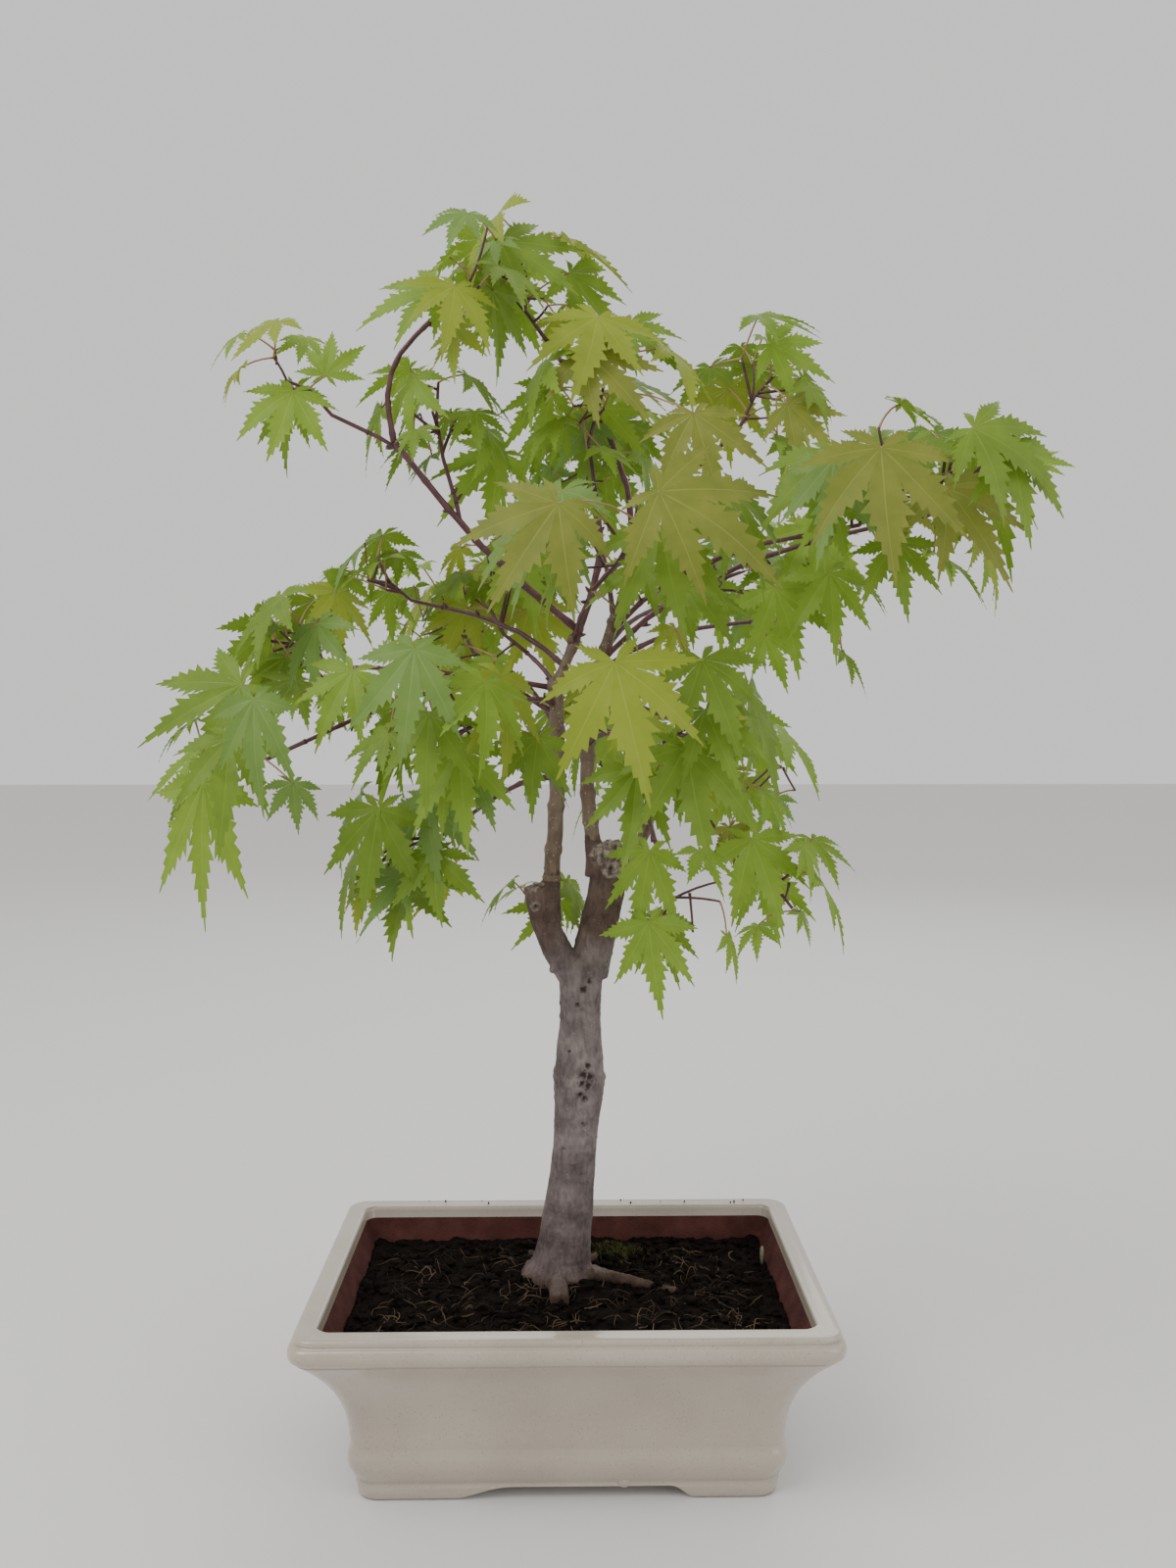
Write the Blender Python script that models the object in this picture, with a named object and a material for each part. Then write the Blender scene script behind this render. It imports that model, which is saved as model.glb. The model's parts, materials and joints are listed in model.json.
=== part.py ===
"""Maple bonsai in its rectangular glazed pot.

The origin is the middle of the pot on the surface that it stands on. X runs along
the pot, Y from the front to the back, and Z is up. Driving dimensions are in
millimetres and become metres through MM.
"""

import math
import random
from collections import namedtuple

import bmesh
import bpy
import numpy as np
from mathutils import Matrix, Vector
from mathutils.bvhtree import BVHTree

MM = 0.001
CLEAR = 0.3 * MM  # gap between pieces that touch
UP = Vector((0.0, 0.0, 1.0))
FRONT = Vector((0.0, -1.0, 0.0))
GOLDEN_ANGLE = math.radians(137.5)

# Pot: rim size, height and corner, then the profile as (inset from the rim, height)
POT_LENGTH = 210.0
POT_DEPTH = 150.0
RIM_CORNER = 8.0
INNER_CORNER = 5.0
CORNER_STEPS = 4
FOOT_PROFILE = [(32.0, 5.5), (31.0, 0.0), (23.4, 0.0), (22.3, 1.2), (21.0, 9.0)]
BEAD_PROFILE = [(19.3, 13.5), (19.0, 17.0), (19.7, 23.0)]
FLARE_LOW = (19.7, 23.0)
FLARE_HIGH = (1.0, 64.5)
FLARE_POWER = 2.15
FLARE_STEPS = 6
RIM_PROFILE = [(0.0, 68.0), (0.0, 71.3), (1.3, 73.0), (9.2, 73.0), (10.4, 71.5), (10.8, 68.0)]
WALL_PROFILE = [(15.2, 59.5), (21.5, 45.0), (25.6, 13.0), (27.5, 11.0)]
ARCH_HEIGHT = 5.6
FRONT_ARCH = (-49.0, -22.0, 40.0, 51.0)
SIDE_ARCH = (-30.0, -18.0, 18.0, 30.0)
ARCH_STEPS = 4

# Soil: its flat middle carries the trunk and the roots
SOIL_TOP = 59.7
SOIL_EDGE = 58.7
SOIL_GAP = 0.4  # room to the pot's wall
SOIL_RINGS = [(0.86, 0.9), (0.72, 0.8)]  # (share of the edge's size, unevenness)
SOIL_FLAT = 0.60
SOIL_SEED = 5

# Trunk: (share of its length, diameter), with the lean between its two ends
TRUNK_FOOT = (-4.0, 18.0, 54.0)
TRUNK_TOP = (5.8, 18.0, 201.0)
TRUNK_BOW = (3.0, 0.0, 0.0)
TRUNK_GIRTHS = [
    (0.0, 37.0), (0.045, 33.0), (0.065, 28.0), (0.095, 24.6), (0.15, 22.6), (0.24, 21.5),
    (0.33, 19.8), (0.42, 19.0), (0.50, 19.5), (0.57, 21.0), (0.63, 21.9), (0.69, 20.5),
    (0.76, 18.5), (0.83, 18.0), (0.90, 18.6), (0.95, 19.0), (0.98, 17.6), (1.0, 13.0),
]
TRUNK_SIDES = 16
ROOT_SIDES = 8
ROOTS = [
    ((2.0, 15.0, 63.0), (18.0, 11.0, 61.4), (46.0, 0.0, 60.0), 9.0, 2.6),
    ((-3.0, 12.0, 62.5), (-4.0, 2.0, 61.5), (-3.0, -13.0, 61.0), 9.0, 8.0),
    ((-8.0, 17.0, 62.5), (-17.0, 14.0, 61.0), (-24.0, 8.0, 60.2), 7.0, 3.0),
    ((-4.0, 22.0, 62.5), (-9.0, 32.0, 61.0), (-18.0, 40.0, 60.2), 7.0, 3.0),
    ((3.0, 22.0, 62.5), (12.0, 31.0, 61.0), (17.0, 41.0, 60.2), 7.0, 3.0),
]

# Limbs in order of growth: parent, start, end, bow at the middle, both diameters, sides
Limb = namedtuple("Limb", "parent start end bow girths sides")
LIMBS = {
    "left_stub": Limb(
        "trunk", (3.0, 18.0, 190.0), (-13.1, 14.0, 231.8), (-3.0, 0.0, 0.0), (12.4, 11.7), 10,
    ),
    "right_stub": Limb(
        "trunk", (9.0, 18.6, 192.0), (20.4, 19.0, 246.1), (0.0, 0.0, 0.0), (17.0, 15.6), 10,
    ),
    "left_stem": Limb(
        "left_stub", (-8.4, 15.0, 217.0), (-4.9, 10.0, 319.2), (2.0, 0.0, 0.0), (7.4, 6.2), 8,
    ),
    "left_leader": Limb(
        "left_stem", (-4.9, 10.0, 316.5), (5.5, 10.0, 342.0), (0.0, 0.0, 0.0), (4.8, 3.8), 6,
    ),
    "right_stem": Limb(
        "right_stub", (13.5, 18.0, 236.0), (20.7, 18.0, 347.6), (-8.5, -2.0, 0.0), (6.9, 5.0), 8,
    ),
    "back_stem": Limb(
        "right_stub", (21.0, 20.0, 233.0), (41.3, 45.0, 273.8), (3.0, 0.0, 0.0), (5.6, 4.6), 6,
    ),
    "arch_low": Limb(
        "left_leader", (5.0, 10.0, 340.5), (-69.9, -12.0, 415.2), (-3.0, 0.0, -3.0), (3.2, 2.4), 6,
    ),
    "arch_high": Limb(
        "arch_low", (-69.9, -12.0, 414.6), (-53.0, -19.0, 462.0), (-9.0, 0.0, 3.0), (2.3, 1.9), 6,
    ),
    "upright": Limb(
        "left_leader", (2.0, 10.0, 334.0), (11.5, 0.0, 398.0), (6.0, -4.0, 0.0), (3.4, 2.2), 6,
    ),
    "top_bough": Limb(
        "right_stem", (20.0, 18.0, 344.0), (-8.9, 10.0, 462.0), (20.0, 4.0, 0.0), (3.6, 2.4), 6,
    ),
}
LIMB_STEPS = 7
BOUGH_STEPS = 6
BOUGH_SIDES = 4
BOUGH_GIRTHS = (3.0, 2.0)
BOUGH_RISE = 0.5  # how much a bough leaves upwards
BOUGH_DROOP = 0.25  # how much it comes down into its mass
BOUGH_STOP = 0.55  # where it ends, as a share of the mass's reach on that side
BOUGH_STOP_MOST = 0.6  # and as a share of the way from the mass's centre to the parent
BOUGH_TRIES = (0, -1, 1, -2, 2, -3, 3, -4, 4, -5)  # steps to either side of its place
TRY_TURN = 0.035  # how far along its parent a bough moves at each step

# Masses: parent limb, where along it, centre, reach, leaves, leaf length, seed
Mass = namedtuple("Mass", "parent along centre reach leaves length seed")
MASSES = {
    "top": Mass("top_bough", None, (-14, 10, 487), (56, 56, 40), 6, 40, 113),
    "arch_top": Mass("arch_high", None, (-48, -20, 466), (46, 50, 40), 4, 38, 43),
    "arch_side": Mass("arch_low", 0.985, (-102, -12, 434), (44, 46, 46), 3, 36, 90),
    "arch_inner": Mass("arch_low", 0.62, (-52, -2, 418), (46, 46, 40), 5, 36, 3),
    "upper_mid": Mass("upright", None, (15, -4, 432), (56, 52, 48), 7, 40, 145),
    "upper_right": Mass("top_bough", 0.24, (78, 8, 436), (58, 54, 50), 7, 38, 59),
    "right_front": Mass("right_stem", 0.93, (112, -92, 379), (60, 56, 52), 6, 44, 101),
    "right_tip": Mass("right_stem", 0.83, (138, -84, 383), (44, 60, 50), 4, 40, 122),
    "right_mid": Mass("right_stem", 0.78, (97, -28, 349), (44, 52, 46), 5, 42, 13),
    "centre_front": Mass("left_leader", 0.75, (22, -84, 367), (66, 50, 46), 5, 48, 1),
    "centre_low": Mass("right_stem", 0.50, (40, -56, 296), (54, 58, 64), 6, 44, 132),
    "right_low": Mass("right_stem", 0.66, (82, 16, 288), (42, 56, 62), 5, 42, 117),
    "right_hang": Mass("right_stem", 0.58, (87, 0, 233), (42, 50, 46), 3, 40, 41),
    "low_centre": Mass("back_stem", 0.60, (42, -14, 229), (38, 46, 54), 3, 40, 116),
    "left_front": Mass("left_stem", 0.90, (-42, -56, 302), (58, 50, 60), 7, 44, 136),
    "far_left": Mass("left_stem", 0.97, (-128, -42, 288), (46, 56, 70), 5, 46, 27),
    "left_up": Mass("left_stem", 0.86, (-110, 2, 332), (56, 54, 48), 8, 38, 48),
    "left_high": Mass("left_leader", 0.35, (-76, 34, 362), (42, 48, 44), 4, 36, 148),
    "left_low": Mass("left_stem", 0.60, (-66, -8, 252), (50, 54, 60), 7, 44, 75),
    "mid_left": Mass("left_stem", 0.97, (-33, 34, 350), (52, 48, 44), 6, 40, 1),
    "back_top": Mass("right_stem", 0.98, (8, 84, 424), (56, 54, 52), 6, 40, 128),
    "back_right": Mass("right_stem", 0.88, (76, 88, 370), (58, 58, 56), 7, 42, 86),
    "back_left": Mass("left_stem", 0.80, (-50, 93, 344), (60, 52, 56), 7, 42, 125),
    "back_low": Mass("back_stem", 1.0, (24, 82, 288), (54, 52, 50), 6, 42, 114),
    "under_fork": Mass("left_stub", 0.60, (-10, 52, 212), (34, 40, 36), 2, 32, 22),
}

# Leaves that face the front, grown first in their mass: hub, turn of the middle lobe
# from straight down towards +X, degrees that the blade leans back, length, spread
Shown = namedtuple("Shown", "mass hub turn lean length spread")
SHOWN_LEAVES = [
    Shown("right_front", (101, -125, 390), 0, 22, 46, 1.0),
    Shown("right_front", (128, -104, 381), 32, 30, 41, 0.8),
    Shown("right_tip", (131.5, -122, 397), 62, 30, 35, 1.0),
    Shown("upper_right", (84, 0, 458), 62, 20, 31, 0.9),
    Shown("upper_right", (89, -14, 430), 45, 25, 30, 0.9),
    Shown("upper_mid", (7, -26, 447), 45, 28, 42, 0.9),
    Shown("upper_mid", (49, -36, 421), 15, 28, 36, 1.0),
    Shown("centre_front", (-3, -112, 374), -35, 22, 42, 1.0),
    Shown("centre_front", (30, -118, 377), 62, 24, 50, 0.9),
    Shown("centre_low", (16, -106, 322), 14, 20, 50, 0.95),
    Shown("right_mid", (78, -55, 352), 18, 26, 36, 0.85),
    Shown("left_front", (-53, -92, 327), -4, 24, 42, 0.75),
    Shown("far_left", (-123, -50, 316), -65, 26, 46, 0.8),
    Shown("far_left", (-113, -74, 310), 4, 20, 42, 0.6),
    Shown("far_left", (-138, -50, 279), 0, 14, 56, 0.5),
    Shown("left_low", (-74, -34, 268), -8, 18, 44, 0.8),
    Shown("left_up", (-83, -38, 322), -28, 26, 36, 0.8),
    Shown("arch_side", (-107, -28, 431), -14, 24, 31, 1.0),
    Shown("arch_side", (-97, -12, 441), 172, 10, 22, 1.0),
    Shown("arch_top", (-50, -34, 468), -78, 30, 34, 0.8),
    Shown("top", (-27, -8, 496), 58, 30, 40, 0.8),
    Shown("right_hang", (76, -10, 254), 20, 24, 42, 0.8),
    Shown("low_centre", (32, -34, 223), 6, 20, 38, 0.75),
]

# Twigs and leaves
STEM_GIRTH = 2.0
TWIG_GIRTH = 1.5
PETIOLE_GIRTH = 1.2
TWIG_TAPER = 0.75
TWIG_SIDES = 3
PETIOLE_LENGTH = (12.0, 24.0)
PETIOLE_SWELL = 1.15
STEM_PIECES = 3
STEM_SIDES = 4
STEM_TAPER = 0.86
STEM_PAST = 0.45  # how far a stem runs past its mass's centre
STEM_LEAST = 12.0
SHOWN_ROOM = 1.5  # how far a named leaf may reach, against 1 for the others
SHOWN_ROOTS = (0.2, 0.35, 0.5, 0.7, 0.85, 0.98)  # where on the stem a named leaf may grow
LEAF_TRIES = 14
SPRAY_ROUNDS = 3
TWIG_TRIES = 8
SPRAY_REACH = (0.15, 0.5)  # a side twig's length, against the mass's reach
SIDE_SPREAD = (0.5, 1.3)
END_SPREAD = (0.0, 0.5)
BLADE_DROOP = (18.0, 68.0)
BLADE_ROLL = 0.45
BLADE_SIZE = (0.82, 1.1)
BLADE_SPREAD = (0.7, 1.0)
MARGIN = 0.45  # room kept round each new twig
STALK_PAST = 1.0  # how far a stalk runs into its blade
STICK_PAST = 1.4  # room kept past a stick's end
STICK_FOOT = 2.5  # the length by its foot that may touch its own mass
LEAF_MARGIN = 0.014  # and round each new leaf, as a share of its middle lobe
LOBE_ANGLES = (0.0, 40.0, 84.0)
LOBE_LENGTHS = (1.0, 0.94, 0.74)
NOTCH_LENGTHS = (0.36, 0.34, 0.10)
LEAF_THICKNESS = 0.028  # at the hub, as a share of the middle lobe
LEAF_CROWN = 0.12  # where the blade is thickest, along the middle lobe
LEAF_DROOP = 0.16  # how far the lobes' tips hang, as a share of the middle lobe
SHOOT_GIRTH = 4.0  # limbs thinner than this at the foot are young wood
SHARP_ANGLE = 40.0
WELD = 0.00001

MATERIALS = {
    "pot": ((0.55, 0.50, 0.41), 0.25),
    "soil": ((0.025, 0.018, 0.014), 0.95),
    "bark": ((0.23, 0.18, 0.16), 0.85),
    "shoot": ((0.16, 0.05, 0.05), 0.6),
    "leaf": ((0.22, 0.36, 0.05), 0.55),
}


def vector(values):
    """A point or a length given in millimetres."""
    return Vector(values) * MM


def make_material(name):
    """One plain material of the part's palette."""
    colour, roughness = MATERIALS[name]
    material = bpy.data.materials.new(name)
    material.use_nodes = True
    shader = material.node_tree.nodes["Principled BSDF"]
    shader.inputs["Base Color"].default_value = (*colour, 1.0)
    shader.inputs["Roughness"].default_value = roughness
    shader.inputs["Metallic"].default_value = 0.0
    return material


def add_object(name, mesh, collection, material=None):
    """A mesh object in a collection."""
    obj = bpy.data.objects.new(name, mesh)
    collection.objects.link(obj)
    if material:
        mesh.materials.clear()
        mesh.materials.append(material)
    return obj


def mesh_from(bm, name):
    """The mesh that a bmesh holds, with its faces pointing out."""
    bmesh.ops.recalc_face_normals(bm, faces=bm.faces)
    mesh = bpy.data.meshes.new(name)
    bm.to_mesh(mesh)
    bm.free()
    return mesh


def settle(obj):
    """Put an object's modifiers into its mesh."""
    bpy.context.view_layer.update()
    depsgraph = bpy.context.evaluated_depsgraph_get()
    mesh = bpy.data.meshes.new_from_object(obj.evaluated_get(depsgraph))
    obj.modifiers.clear()
    obj.data = mesh


def keep_largest(obj):
    """Drop loose scraps and the walls of sealed hollows."""
    bm = bmesh.new()
    bm.from_mesh(obj.data)
    islands = []
    unseen = set(bm.verts)
    while unseen:
        island = {unseen.pop()}
        front = list(island)
        while front:
            vertex = front.pop()
            new = {edge.other_vert(vertex) for edge in vertex.link_edges} & unseen
            island |= new
            unseen -= new
            front.extend(new)
        islands.append(island)
    islands.sort(key=len)
    for island in islands[:-1]:
        bmesh.ops.delete(bm, geom=list(island), context="VERTS")
    bm.to_mesh(obj.data)
    bm.free()


def rounded_ring(inset, height, corner):
    """One level of the pot: a rectangle with round corners."""
    half_x = POT_LENGTH / 2 - inset - corner
    half_y = POT_DEPTH / 2 - inset - corner
    ring = []
    for quarter, (side_x, side_y) in enumerate(((1, 1), (-1, 1), (-1, -1), (1, -1))):
        for step in range(CORNER_STEPS + 1):
            angle = math.radians(90.0 * (quarter + step / CORNER_STEPS))
            x = side_x * half_x + corner * math.cos(angle)
            y = side_y * half_y + corner * math.sin(angle)
            ring.append(vector((x, y, height)))
    return ring


def loft(rings, name):
    """A closed mesh through rings of equal count, with both end rings filled."""
    bm = bmesh.new()
    rows = [[bm.verts.new(point) for point in ring] for ring in rings]
    for low, high in zip(rows, rows[1:]):
        for i in range(len(low)):
            j = (i + 1) % len(low)
            bm.faces.new((low[i], low[j], high[j], high[i]))
    bm.faces.new(reversed(rows[0]))
    bm.faces.new(rows[-1])
    return mesh_from(bm, name)


def flare_profile():
    """The hollow curve of the pot's side from its waist to under the rim."""
    points = []
    for step in range(1, FLARE_STEPS + 1):
        share = step / FLARE_STEPS
        inset = FLARE_LOW[0] + (FLARE_HIGH[0] - FLARE_LOW[0]) * share**FLARE_POWER
        points.append((inset, FLARE_LOW[1] + (FLARE_HIGH[1] - FLARE_LOW[1]) * share))
    return points


def arch_cutter(name, spans, along_y, collection):
    """A bar whose section is the low arch between two feet, with ogee ends."""
    left, left_top, right_top, right = spans
    outline = [(left, -ARCH_HEIGHT), (left, 0.0)]
    for step in range(1, ARCH_STEPS + 1):
        share = step / ARCH_STEPS
        rise = ARCH_HEIGHT * (1 - math.cos(math.pi * share)) / 2
        outline.append((left + (left_top - left) * share, rise))
    for step in range(ARCH_STEPS, 0, -1):
        share = step / ARCH_STEPS
        rise = ARCH_HEIGHT * (1 - math.cos(math.pi * share)) / 2
        outline.append((right + (right_top - right) * share, rise))
    outline += [(right, 0.0), (right, -ARCH_HEIGHT)]
    ends = []
    for end in (-POT_LENGTH, POT_LENGTH):
        if along_y:
            ends.append([vector((across, end, height)) for across, height in outline])
        else:
            ends.append([vector((end, across, height)) for across, height in outline])
    cutter = add_object(name, loft(ends, name), collection)
    cutter.hide_render = True
    cutter.display_type = "WIRE"
    return cutter


def make_pot(parts, cutters, material):
    """The hollow pot on four corner feet."""
    outside = FOOT_PROFILE + BEAD_PROFILE + flare_profile() + RIM_PROFILE[:4]
    inside = RIM_PROFILE[4:] + WALL_PROFILE
    rings = [rounded_ring(inset, height, RIM_CORNER) for inset, height in outside]
    rings += [rounded_ring(inset, height, INNER_CORNER) for inset, height in inside]
    pot = add_object("pot", loft(rings, "pot"), parts, material)
    for name, spans, along_y in (("front_arch", FRONT_ARCH, True), ("side_arch", SIDE_ARCH, False)):
        cut = pot.modifiers.new(name, "BOOLEAN")
        cut.operation = "DIFFERENCE"
        cut.object = arch_cutter(name, spans, along_y, cutters)
    return pot


def make_soil(parts, material):
    """The soil that fills the pot, uneven near the walls and flat under the trunk."""
    (edge_inset, _), *middle, (floor_inset, floor) = WALL_PROFILE
    levels = [(floor_inset, floor + CLEAR / MM), *reversed(middle), (edge_inset, SOIL_EDGE)]
    rings = [rounded_ring(inset + SOIL_GAP, height, INNER_CORNER) for inset, height in levels]
    rng = random.Random(SOIL_SEED)
    edge = rings[-1]
    for share, unevenness in SOIL_RINGS:
        ring = []
        for point in edge:
            height = SOIL_TOP + rng.uniform(-unevenness, unevenness)
            ring.append(Vector((point.x * share, point.y * share, height * MM)))
        rings.append(ring)
    rings.append([Vector((p.x * SOIL_FLAT, p.y * SOIL_FLAT, SOIL_TOP * MM)) for p in edge])
    return add_object("soil", loft(rings, "soil"), parts, material)


def bowed_line(start, end, bow, count):
    """Points from start to end that bow out at the middle."""
    points = []
    for step in range(count):
        share = step / (count - 1)
        straight = vector(start).lerp(vector(end), share)
        points.append(straight + vector(bow) * math.sin(math.pi * share))
    return points


def bezier_line(start, first, second, end, count):
    """Points along a cubic curve."""
    points = []
    for step in range(count):
        t = step / (count - 1)
        s = 1 - t
        points.append(start * s**3 + first * 3 * s * s * t + second * 3 * s * t * t + end * t**3)
    return points


def tube_mesh(name, points, radii, sides):
    """A tapering limb as a filled curve, made a mesh."""
    curve = bpy.data.curves.new(name, "CURVE")
    curve.dimensions = "3D"
    curve.bevel_depth = 1.0
    curve.bevel_resolution = (sides - 4) // 2
    curve.use_fill_caps = True
    spline = curve.splines.new("POLY")
    spline.points.add(len(points) - 1)
    for spot, point, radius in zip(spline.points, points, radii):
        spot.co = (*point, 1.0)
        spot.radius = radius
    holder = bpy.data.objects.new(name, curve)
    bpy.context.scene.collection.objects.link(holder)
    depsgraph = bpy.context.evaluated_depsgraph_get()
    mesh = bpy.data.meshes.new_from_object(holder.evaluated_get(depsgraph))
    bpy.data.objects.remove(holder)
    bpy.data.curves.remove(curve)
    bm = bmesh.new()
    bm.from_mesh(mesh)
    bmesh.ops.remove_doubles(bm, verts=bm.verts, dist=WELD)
    bmesh.ops.recalc_face_normals(bm, faces=bm.faces)
    bm.to_mesh(mesh)
    bm.free()
    return mesh


class Branch:
    """A limb as planned: the points of its centre line and its radius at each."""

    def __init__(self, name, points, radii, sides, parent):
        self.name = name
        self.points = points
        self.radii = radii
        self.sides = sides
        self.parent = parent

    def at(self, along):
        """The point at a share of the limb's length, and the direction there."""
        place = min(along, 0.9999) * (len(self.points) - 1)
        index = int(place)
        start, end = self.points[index], self.points[index + 1]
        return start.lerp(end, place - index), (end - start).normalized()

    def mesh(self, margin=0.0, first=0):
        """The limb's mesh, made fatter and longer by a margin for a test or a cut."""
        points = [point.copy() for point in self.points[first:]]
        points[-1] += (points[-1] - points[-2]).normalized() * margin
        swell = margin / math.cos(math.pi / self.sides)
        return tube_mesh(self.name, points, [r + swell for r in self.radii[first:]], self.sides)


class Crown:
    """All that is placed so far, to test a new limb, twig or leaf against."""

    def __init__(self):
        self.lows = np.zeros((0, 3))
        self.highs = np.zeros((0, 3))
        self.trees = []
        self.owners = []

    def add(self, owner, points, faces):
        """Add a shape under its owner's name."""
        cloud = np.array([tuple(point) for point in points])
        self.lows = np.vstack([self.lows, cloud.min(axis=0)])
        self.highs = np.vstack([self.highs, cloud.max(axis=0)])
        self.trees.append(BVHTree.FromPolygons(points, faces))
        self.owners.append(owner)

    def touched(self, points, faces, leave_out=()):
        """The owners of what a shape would cut through."""
        cloud = np.array([tuple(point) for point in points])
        below = (self.lows < cloud.max(axis=0)).all(axis=1)
        above = (self.highs > cloud.min(axis=0)).all(axis=1)
        found = set()
        tree = None
        for index in np.flatnonzero(below & above):
            owner = self.owners[index]
            if owner in leave_out or owner in found:
                continue
            tree = tree or BVHTree.FromPolygons(points, faces)
            if tree.overlap(self.trees[index]):
                found.add(owner)
        return found


def mesh_shape(mesh):
    """A mesh's points and faces as plain lists, with the mesh removed."""
    points = [vertex.co.copy() for vertex in mesh.vertices]
    faces = [tuple(face.vertices) for face in mesh.polygons]
    bpy.data.meshes.remove(mesh)
    return points, faces


def trunk_branch():
    """The trunk's centre line and girth from below the soil to its fork."""
    points = []
    for share, _ in TRUNK_GIRTHS:
        straight = vector(TRUNK_FOOT).lerp(vector(TRUNK_TOP), share)
        points.append(straight + vector(TRUNK_BOW) * math.sin(math.pi * share))
    radii = [girth / 2 * MM for _, girth in TRUNK_GIRTHS]
    return Branch("trunk", points, radii, TRUNK_SIDES, None)


def limb_branch(name, limb):
    """A named limb's centre line and taper."""
    points = bowed_line(limb.start, limb.end, limb.bow, LIMB_STEPS)
    base, tip = (girth / 2 * MM for girth in limb.girths)
    radii = [base + (tip - base) * step / (LIMB_STEPS - 1) for step in range(LIMB_STEPS)]
    return Branch(name, points, radii, limb.sides, limb.parent)


def bough_branch(name, mass, parent, along):
    """A bough that rises off its parent and comes down into its mass."""
    start, _ = parent.at(along)
    centre = vector(mass.centre)
    toward = centre - start
    reach = vector(mass.reach)
    share = math.sqrt(sum((toward[i] / reach[i]) ** 2 for i in range(3)))
    end = centre - toward * min(BOUGH_STOP / share, BOUGH_STOP_MOST)
    span = end - start
    first = start + (span.normalized() + UP * BOUGH_RISE).normalized() * span.length / 3
    second = end - (span.normalized() - UP * BOUGH_DROOP).normalized() * span.length / 3
    points = bezier_line(start, first, second, end, BOUGH_STEPS)
    base, tip = (girth / 2 * MM for girth in BOUGH_GIRTHS)
    base = min(base, 0.9 * parent.radii[-1])
    radii = [base + (tip - base) * step / (BOUGH_STEPS - 1) for step in range(BOUGH_STEPS)]
    return Branch(name, points, radii, BOUGH_SIDES, parent.name)


def plan_limbs(crown):
    """All limbs and boughs by name, each clear of the others past its own start."""
    branches = {"trunk": trunk_branch()}
    for name, limb in LIMBS.items():
        branches[name] = limb_branch(name, limb)
    for branch in branches.values():
        crown.add(branch.name, *mesh_shape(branch.mesh()))
    for mass_name, mass in MASSES.items():
        if mass.along is None:
            continue
        name = mass_name + "_bough"
        for turn in BOUGH_TRIES:
            along = min(max(mass.along + turn * TRY_TURN, 0.05), 1.0)
            branch = bough_branch(name, mass, branches[mass.parent], along)
            guard = mesh_shape(branch.mesh(MARGIN * MM, first=1))
            if not crown.touched(*guard, leave_out=(mass.parent,)):
                break
        branches[name] = branch
        crown.add(name, *mesh_shape(branch.mesh()))
    return branches


def leaf_outline():
    """The blade's corners, tips and notches in turn, for a middle lobe of 1 along +Y."""
    notch_angles = [(one + other) / 2 for one, other in zip(LOBE_ANGLES, LOBE_ANGLES[1:])] + [180.0]
    half = []
    for tip, length, notch, depth in zip(LOBE_ANGLES, LOBE_LENGTHS, notch_angles, NOTCH_LENGTHS):
        half += [(tip, length), (notch, depth)]
    full = half + [(-angle, length) for angle, length in reversed(half[1:-1])]
    corners = []
    for angle, length in full:
        turn = math.radians(angle)
        drop = -LEAF_DROOP * length * length
        corners.append(Vector((length * math.sin(turn), length * math.cos(turn), drop)))
    return corners


def leaf_shape(margin=0.0):
    """The blade as a cone whose rim is pulled out to the lobes' tips and notches.

    With a margin it is a thicker slab, for testing the room round it.
    """
    corners = leaf_outline()
    bm = bmesh.new()
    bmesh.ops.create_cone(
        bm, cap_ends=True, cap_tris=True, segments=len(corners), radius1=1.0,
        radius2=1.0 if margin else 0.0, depth=1.0,
    )
    bmesh.ops.remove_doubles(bm, verts=bm.verts, dist=WELD)
    half = LEAF_THICKNESS / 2 + margin
    for vertex in bm.verts:
        side = 1.0 if vertex.co.z > 0 else -1.0
        if vertex.co.xy.length < 0.5:
            vertex.co = (0.0, LEAF_CROWN, side * half - LEAF_DROOP * LEAF_CROWN**2)
            continue
        turn = math.atan2(vertex.co.x, vertex.co.y) % (2 * math.pi)
        corner = corners[round(turn * len(corners) / (2 * math.pi)) % len(corners)]
        vertex.co = corner * (1.0 + margin) + UP * side * margin
    return mesh_shape(mesh_from(bm, "leaf"))


def twig_shape():
    """A three-sided tapering stick of unit length and radius along +Z."""
    bm = bmesh.new()
    bmesh.ops.create_cone(
        bm, cap_ends=True, segments=TWIG_SIDES, radius1=1.0, radius2=TWIG_TAPER, depth=1.0,
    )
    bmesh.ops.translate(bm, verts=bm.verts, vec=(0.0, 0.0, 0.5))
    return mesh_shape(mesh_from(bm, "twig"))


def twig_matrix(start, end, girth, overlap=0.0):
    """Places a stick between two points, run on a little past its end."""
    axis = end - start
    turn = axis.to_track_quat("Z", "Y").to_matrix().to_4x4()
    size = Matrix.Diagonal((girth / 2 * MM, girth / 2 * MM, axis.length + overlap * MM, 1.0))
    return Matrix.Translation(start) @ turn @ size


def leaf_matrix(hub, axis, normal, length, spread):
    """Places a leaf by its hub, its middle lobe, the way that it faces and how open it is."""
    side = axis.cross(normal).normalized()
    face = side.cross(axis).normalized()
    turn = Matrix((side * spread, axis, face)).transposed().to_4x4()
    return Matrix.Translation(hub) @ turn @ Matrix.Scale(length * MM, 4)


def moved(shape, matrix):
    """A shape's points and faces after a move."""
    points, faces = shape
    return [matrix @ point for point in points], faces


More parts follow.
